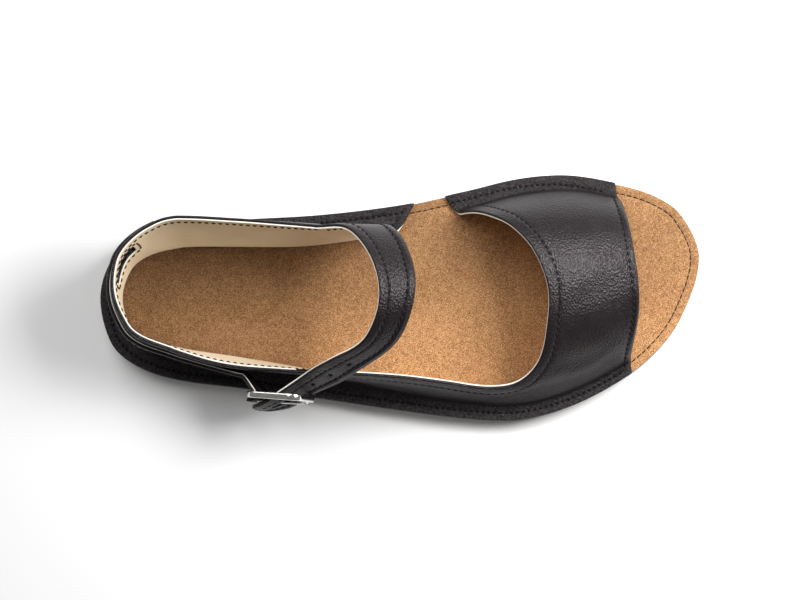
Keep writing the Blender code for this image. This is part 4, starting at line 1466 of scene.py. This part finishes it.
def dress_upper(leather, lining, cut_edge, black_thread, brown_thread):
    sheet, lines = upper_sheet()
    outer = shell(sheet, LEATHER_BASE, sheet["height"], LEATHER_BULGE)
    add_piece("upper_leather", outer, [leather], "upper")
    inner = darkened(shell(sheet, 0.0, LINING, LINING_BULGE))
    add_piece("upper_lining", inner, [lining, cut_edge, leather], "upper")
    seat = WALL - GROOVE_DEPTH + THREAD_LIFT
    outer_rows = [lines[name] for name in OUTER_ROWS]
    add_piece("upper_stitches", thread(raised(outer_rows, seat)), [black_thread])
    flange_rows = [lines[name] for name in FLANGE_ROWS]
    flange = thread(raised(flange_rows, seat), FLANGE_PITCH, FLANGE_THREAD, rise=FLANGE_RISE)
    add_piece("flange_stitches", flange, [black_thread])
    inner_rows = turned_in([lines[name] for name in LINING_ROWS], LINING_STITCH_LIFT)
    add_piece("lining_stitches", thread(inner_rows), [brown_thread])


def dress_buckle_strap(leather, cut_edge, black_thread):
    sheet, lines = buckle_strap_sheet()
    outer = shell(sheet, BUCKLE_LEATHER_BASE, sheet["height"], BUCKLE_LEATHER_BULGE)
    add_piece("buckle_strap_leather", outer, [leather], "buckle_strap")
    inner = darkened(shell(sheet, 0.0, BUCKLE_LINING, BUCKLE_LINING_BULGE))
    surfaces = [leather, cut_edge, leather]
    add_piece("buckle_strap_lining", inner, surfaces, "buckle_strap")
    seat = BUCKLE_STRAP_THICKNESS - GROOVE_DEPTH + THREAD_LIFT
    add_piece("buckle_strap_stitches", thread(raised(lines, seat)), [black_thread])


def dress_footbed(suede, brown_thread):
    line, normals = inset_line(FOOTBED_ROW, FOOTBED_TOP - GROOVE_DEPTH + FOOTBED_THREAD_LIFT)
    shape = sole_layer(FOOTBED_EDGE, line[:, :2])
    add_piece("footbed_suede", shape, [suede], "footbed")
    seam = thread([(line, normals)], radius=FOOTBED_THREAD, gap=FOOTBED_GAP, rise=FOOTBED_RISE)
    add_piece("footbed_stitches", seam, [brown_thread])


def dress_outsole(rubber, black_thread):
    add_piece("outsole_rubber", sole_layer(OUTSOLE_EDGE), [rubber], "outsole")
    add_piece("outsole_tread", plate_knobs(), [rubber], sharp=KNOB_SHARP_ANGLE)
    add_piece("outsole_rim_dots", rim_knobs(), [rubber], sharp=KNOB_SHARP_ANGLE)
    line, normals = inset_line(CHANNEL_ROW, CHANNEL_THREAD_HEIGHT)
    seam = thread([(line, -normals)], CHANNEL_PITCH)
    add_piece("outsole_stitches", seam, [black_thread])


def dress_buckle(steel):
    band = swept(buckle_loop(), (BAND_THICKNESS, BAND_DEPTH), BAND_SIDES, True, BAND_SQUARE)
    add_piece("buckle_frame_steel", band, [steel], "buckle_frame")
    prong = swept(*prong_path(), PRONG_SIDES, False)
    add_piece("buckle_prong_steel", prong, [steel], "buckle_prong")


# Stage


def in_frame(point):
    """A point in millimetres of the sandal, in metres of the shared frame."""
    return Vector((np.array(point) * MM + SHIFT).tolist())


def add_floor():
    mesh = bpy.data.meshes.new("floor")
    corners = ((-1, -1), (1, -1), (1, 1), (-1, 1))
    mesh.from_pydata([(FLOOR_REACH * x, FLOOR_REACH * y, 0.0) for x, y in corners], [], [(0, 1, 2, 3)])
    mesh.materials.append(floor_material())
    floor = bpy.data.objects.new("floor", mesh)
    bpy.context.scene.collection.objects.link(floor)


def add_light(name, place, size, power):
    """Square soft light that looks at the sandal's middle."""
    data = bpy.data.lights.new(name, "AREA")
    data.energy = power
    data.size = size
    lamp = bpy.data.objects.new(name, data)
    lamp.location = place
    lamp.rotation_euler = (-Vector(place)).to_track_quat("-Z", "Y").to_euler()
    lamp.visible_camera = False
    bpy.context.scene.collection.objects.link(lamp)


def add_camera():
    data = bpy.data.cameras.new("camera")
    data.lens = CAMERA_LENS
    camera = bpy.data.objects.new("camera", data)
    tilt = radians(CAMERA_TILT)
    back = np.array((0.0, -sin(tilt), cos(tilt)))
    camera.location = in_frame(np.array(CAMERA_TARGET) + CAMERA_DISTANCE * back)
    camera.rotation_euler = (tilt, 0.0, 0.0)
    bpy.context.scene.collection.objects.link(camera)
    bpy.context.scene.camera = camera


def add_stage():
    add_floor()
    for row in LIGHTS:
        add_light(*row)
    world = bpy.data.worlds.new("studio")
    world.use_nodes = True
    background = world.node_tree.nodes["Background"]
    background.inputs["Color"].default_value = (1.0, 1.0, 1.0, 1.0)
    background.inputs["Strength"].default_value = SKY_STRENGTH
    bpy.context.scene.world = world
    bpy.context.scene.view_settings.view_transform = "Standard"
    add_camera()


def main():
    leather = leather_material()
    cut_edge = cut_edge_material()
    lining = lining_material()
    black_thread = thread_material("black_thread", (0.004, 0.004, 0.006), (0.016, 0.015, 0.018))
    brown_thread = thread_material("brown_thread", (0.012, 0.008, 0.005), (0.05, 0.03, 0.018))
    dress_upper(leather, lining, cut_edge, black_thread, brown_thread)
    dress_buckle_strap(leather, cut_edge, black_thread)
    dress_footbed(suede_material(), brown_thread)
    dress_outsole(rubber_material(), black_thread)
    dress_buckle(steel_material())
    add_stage()


main()
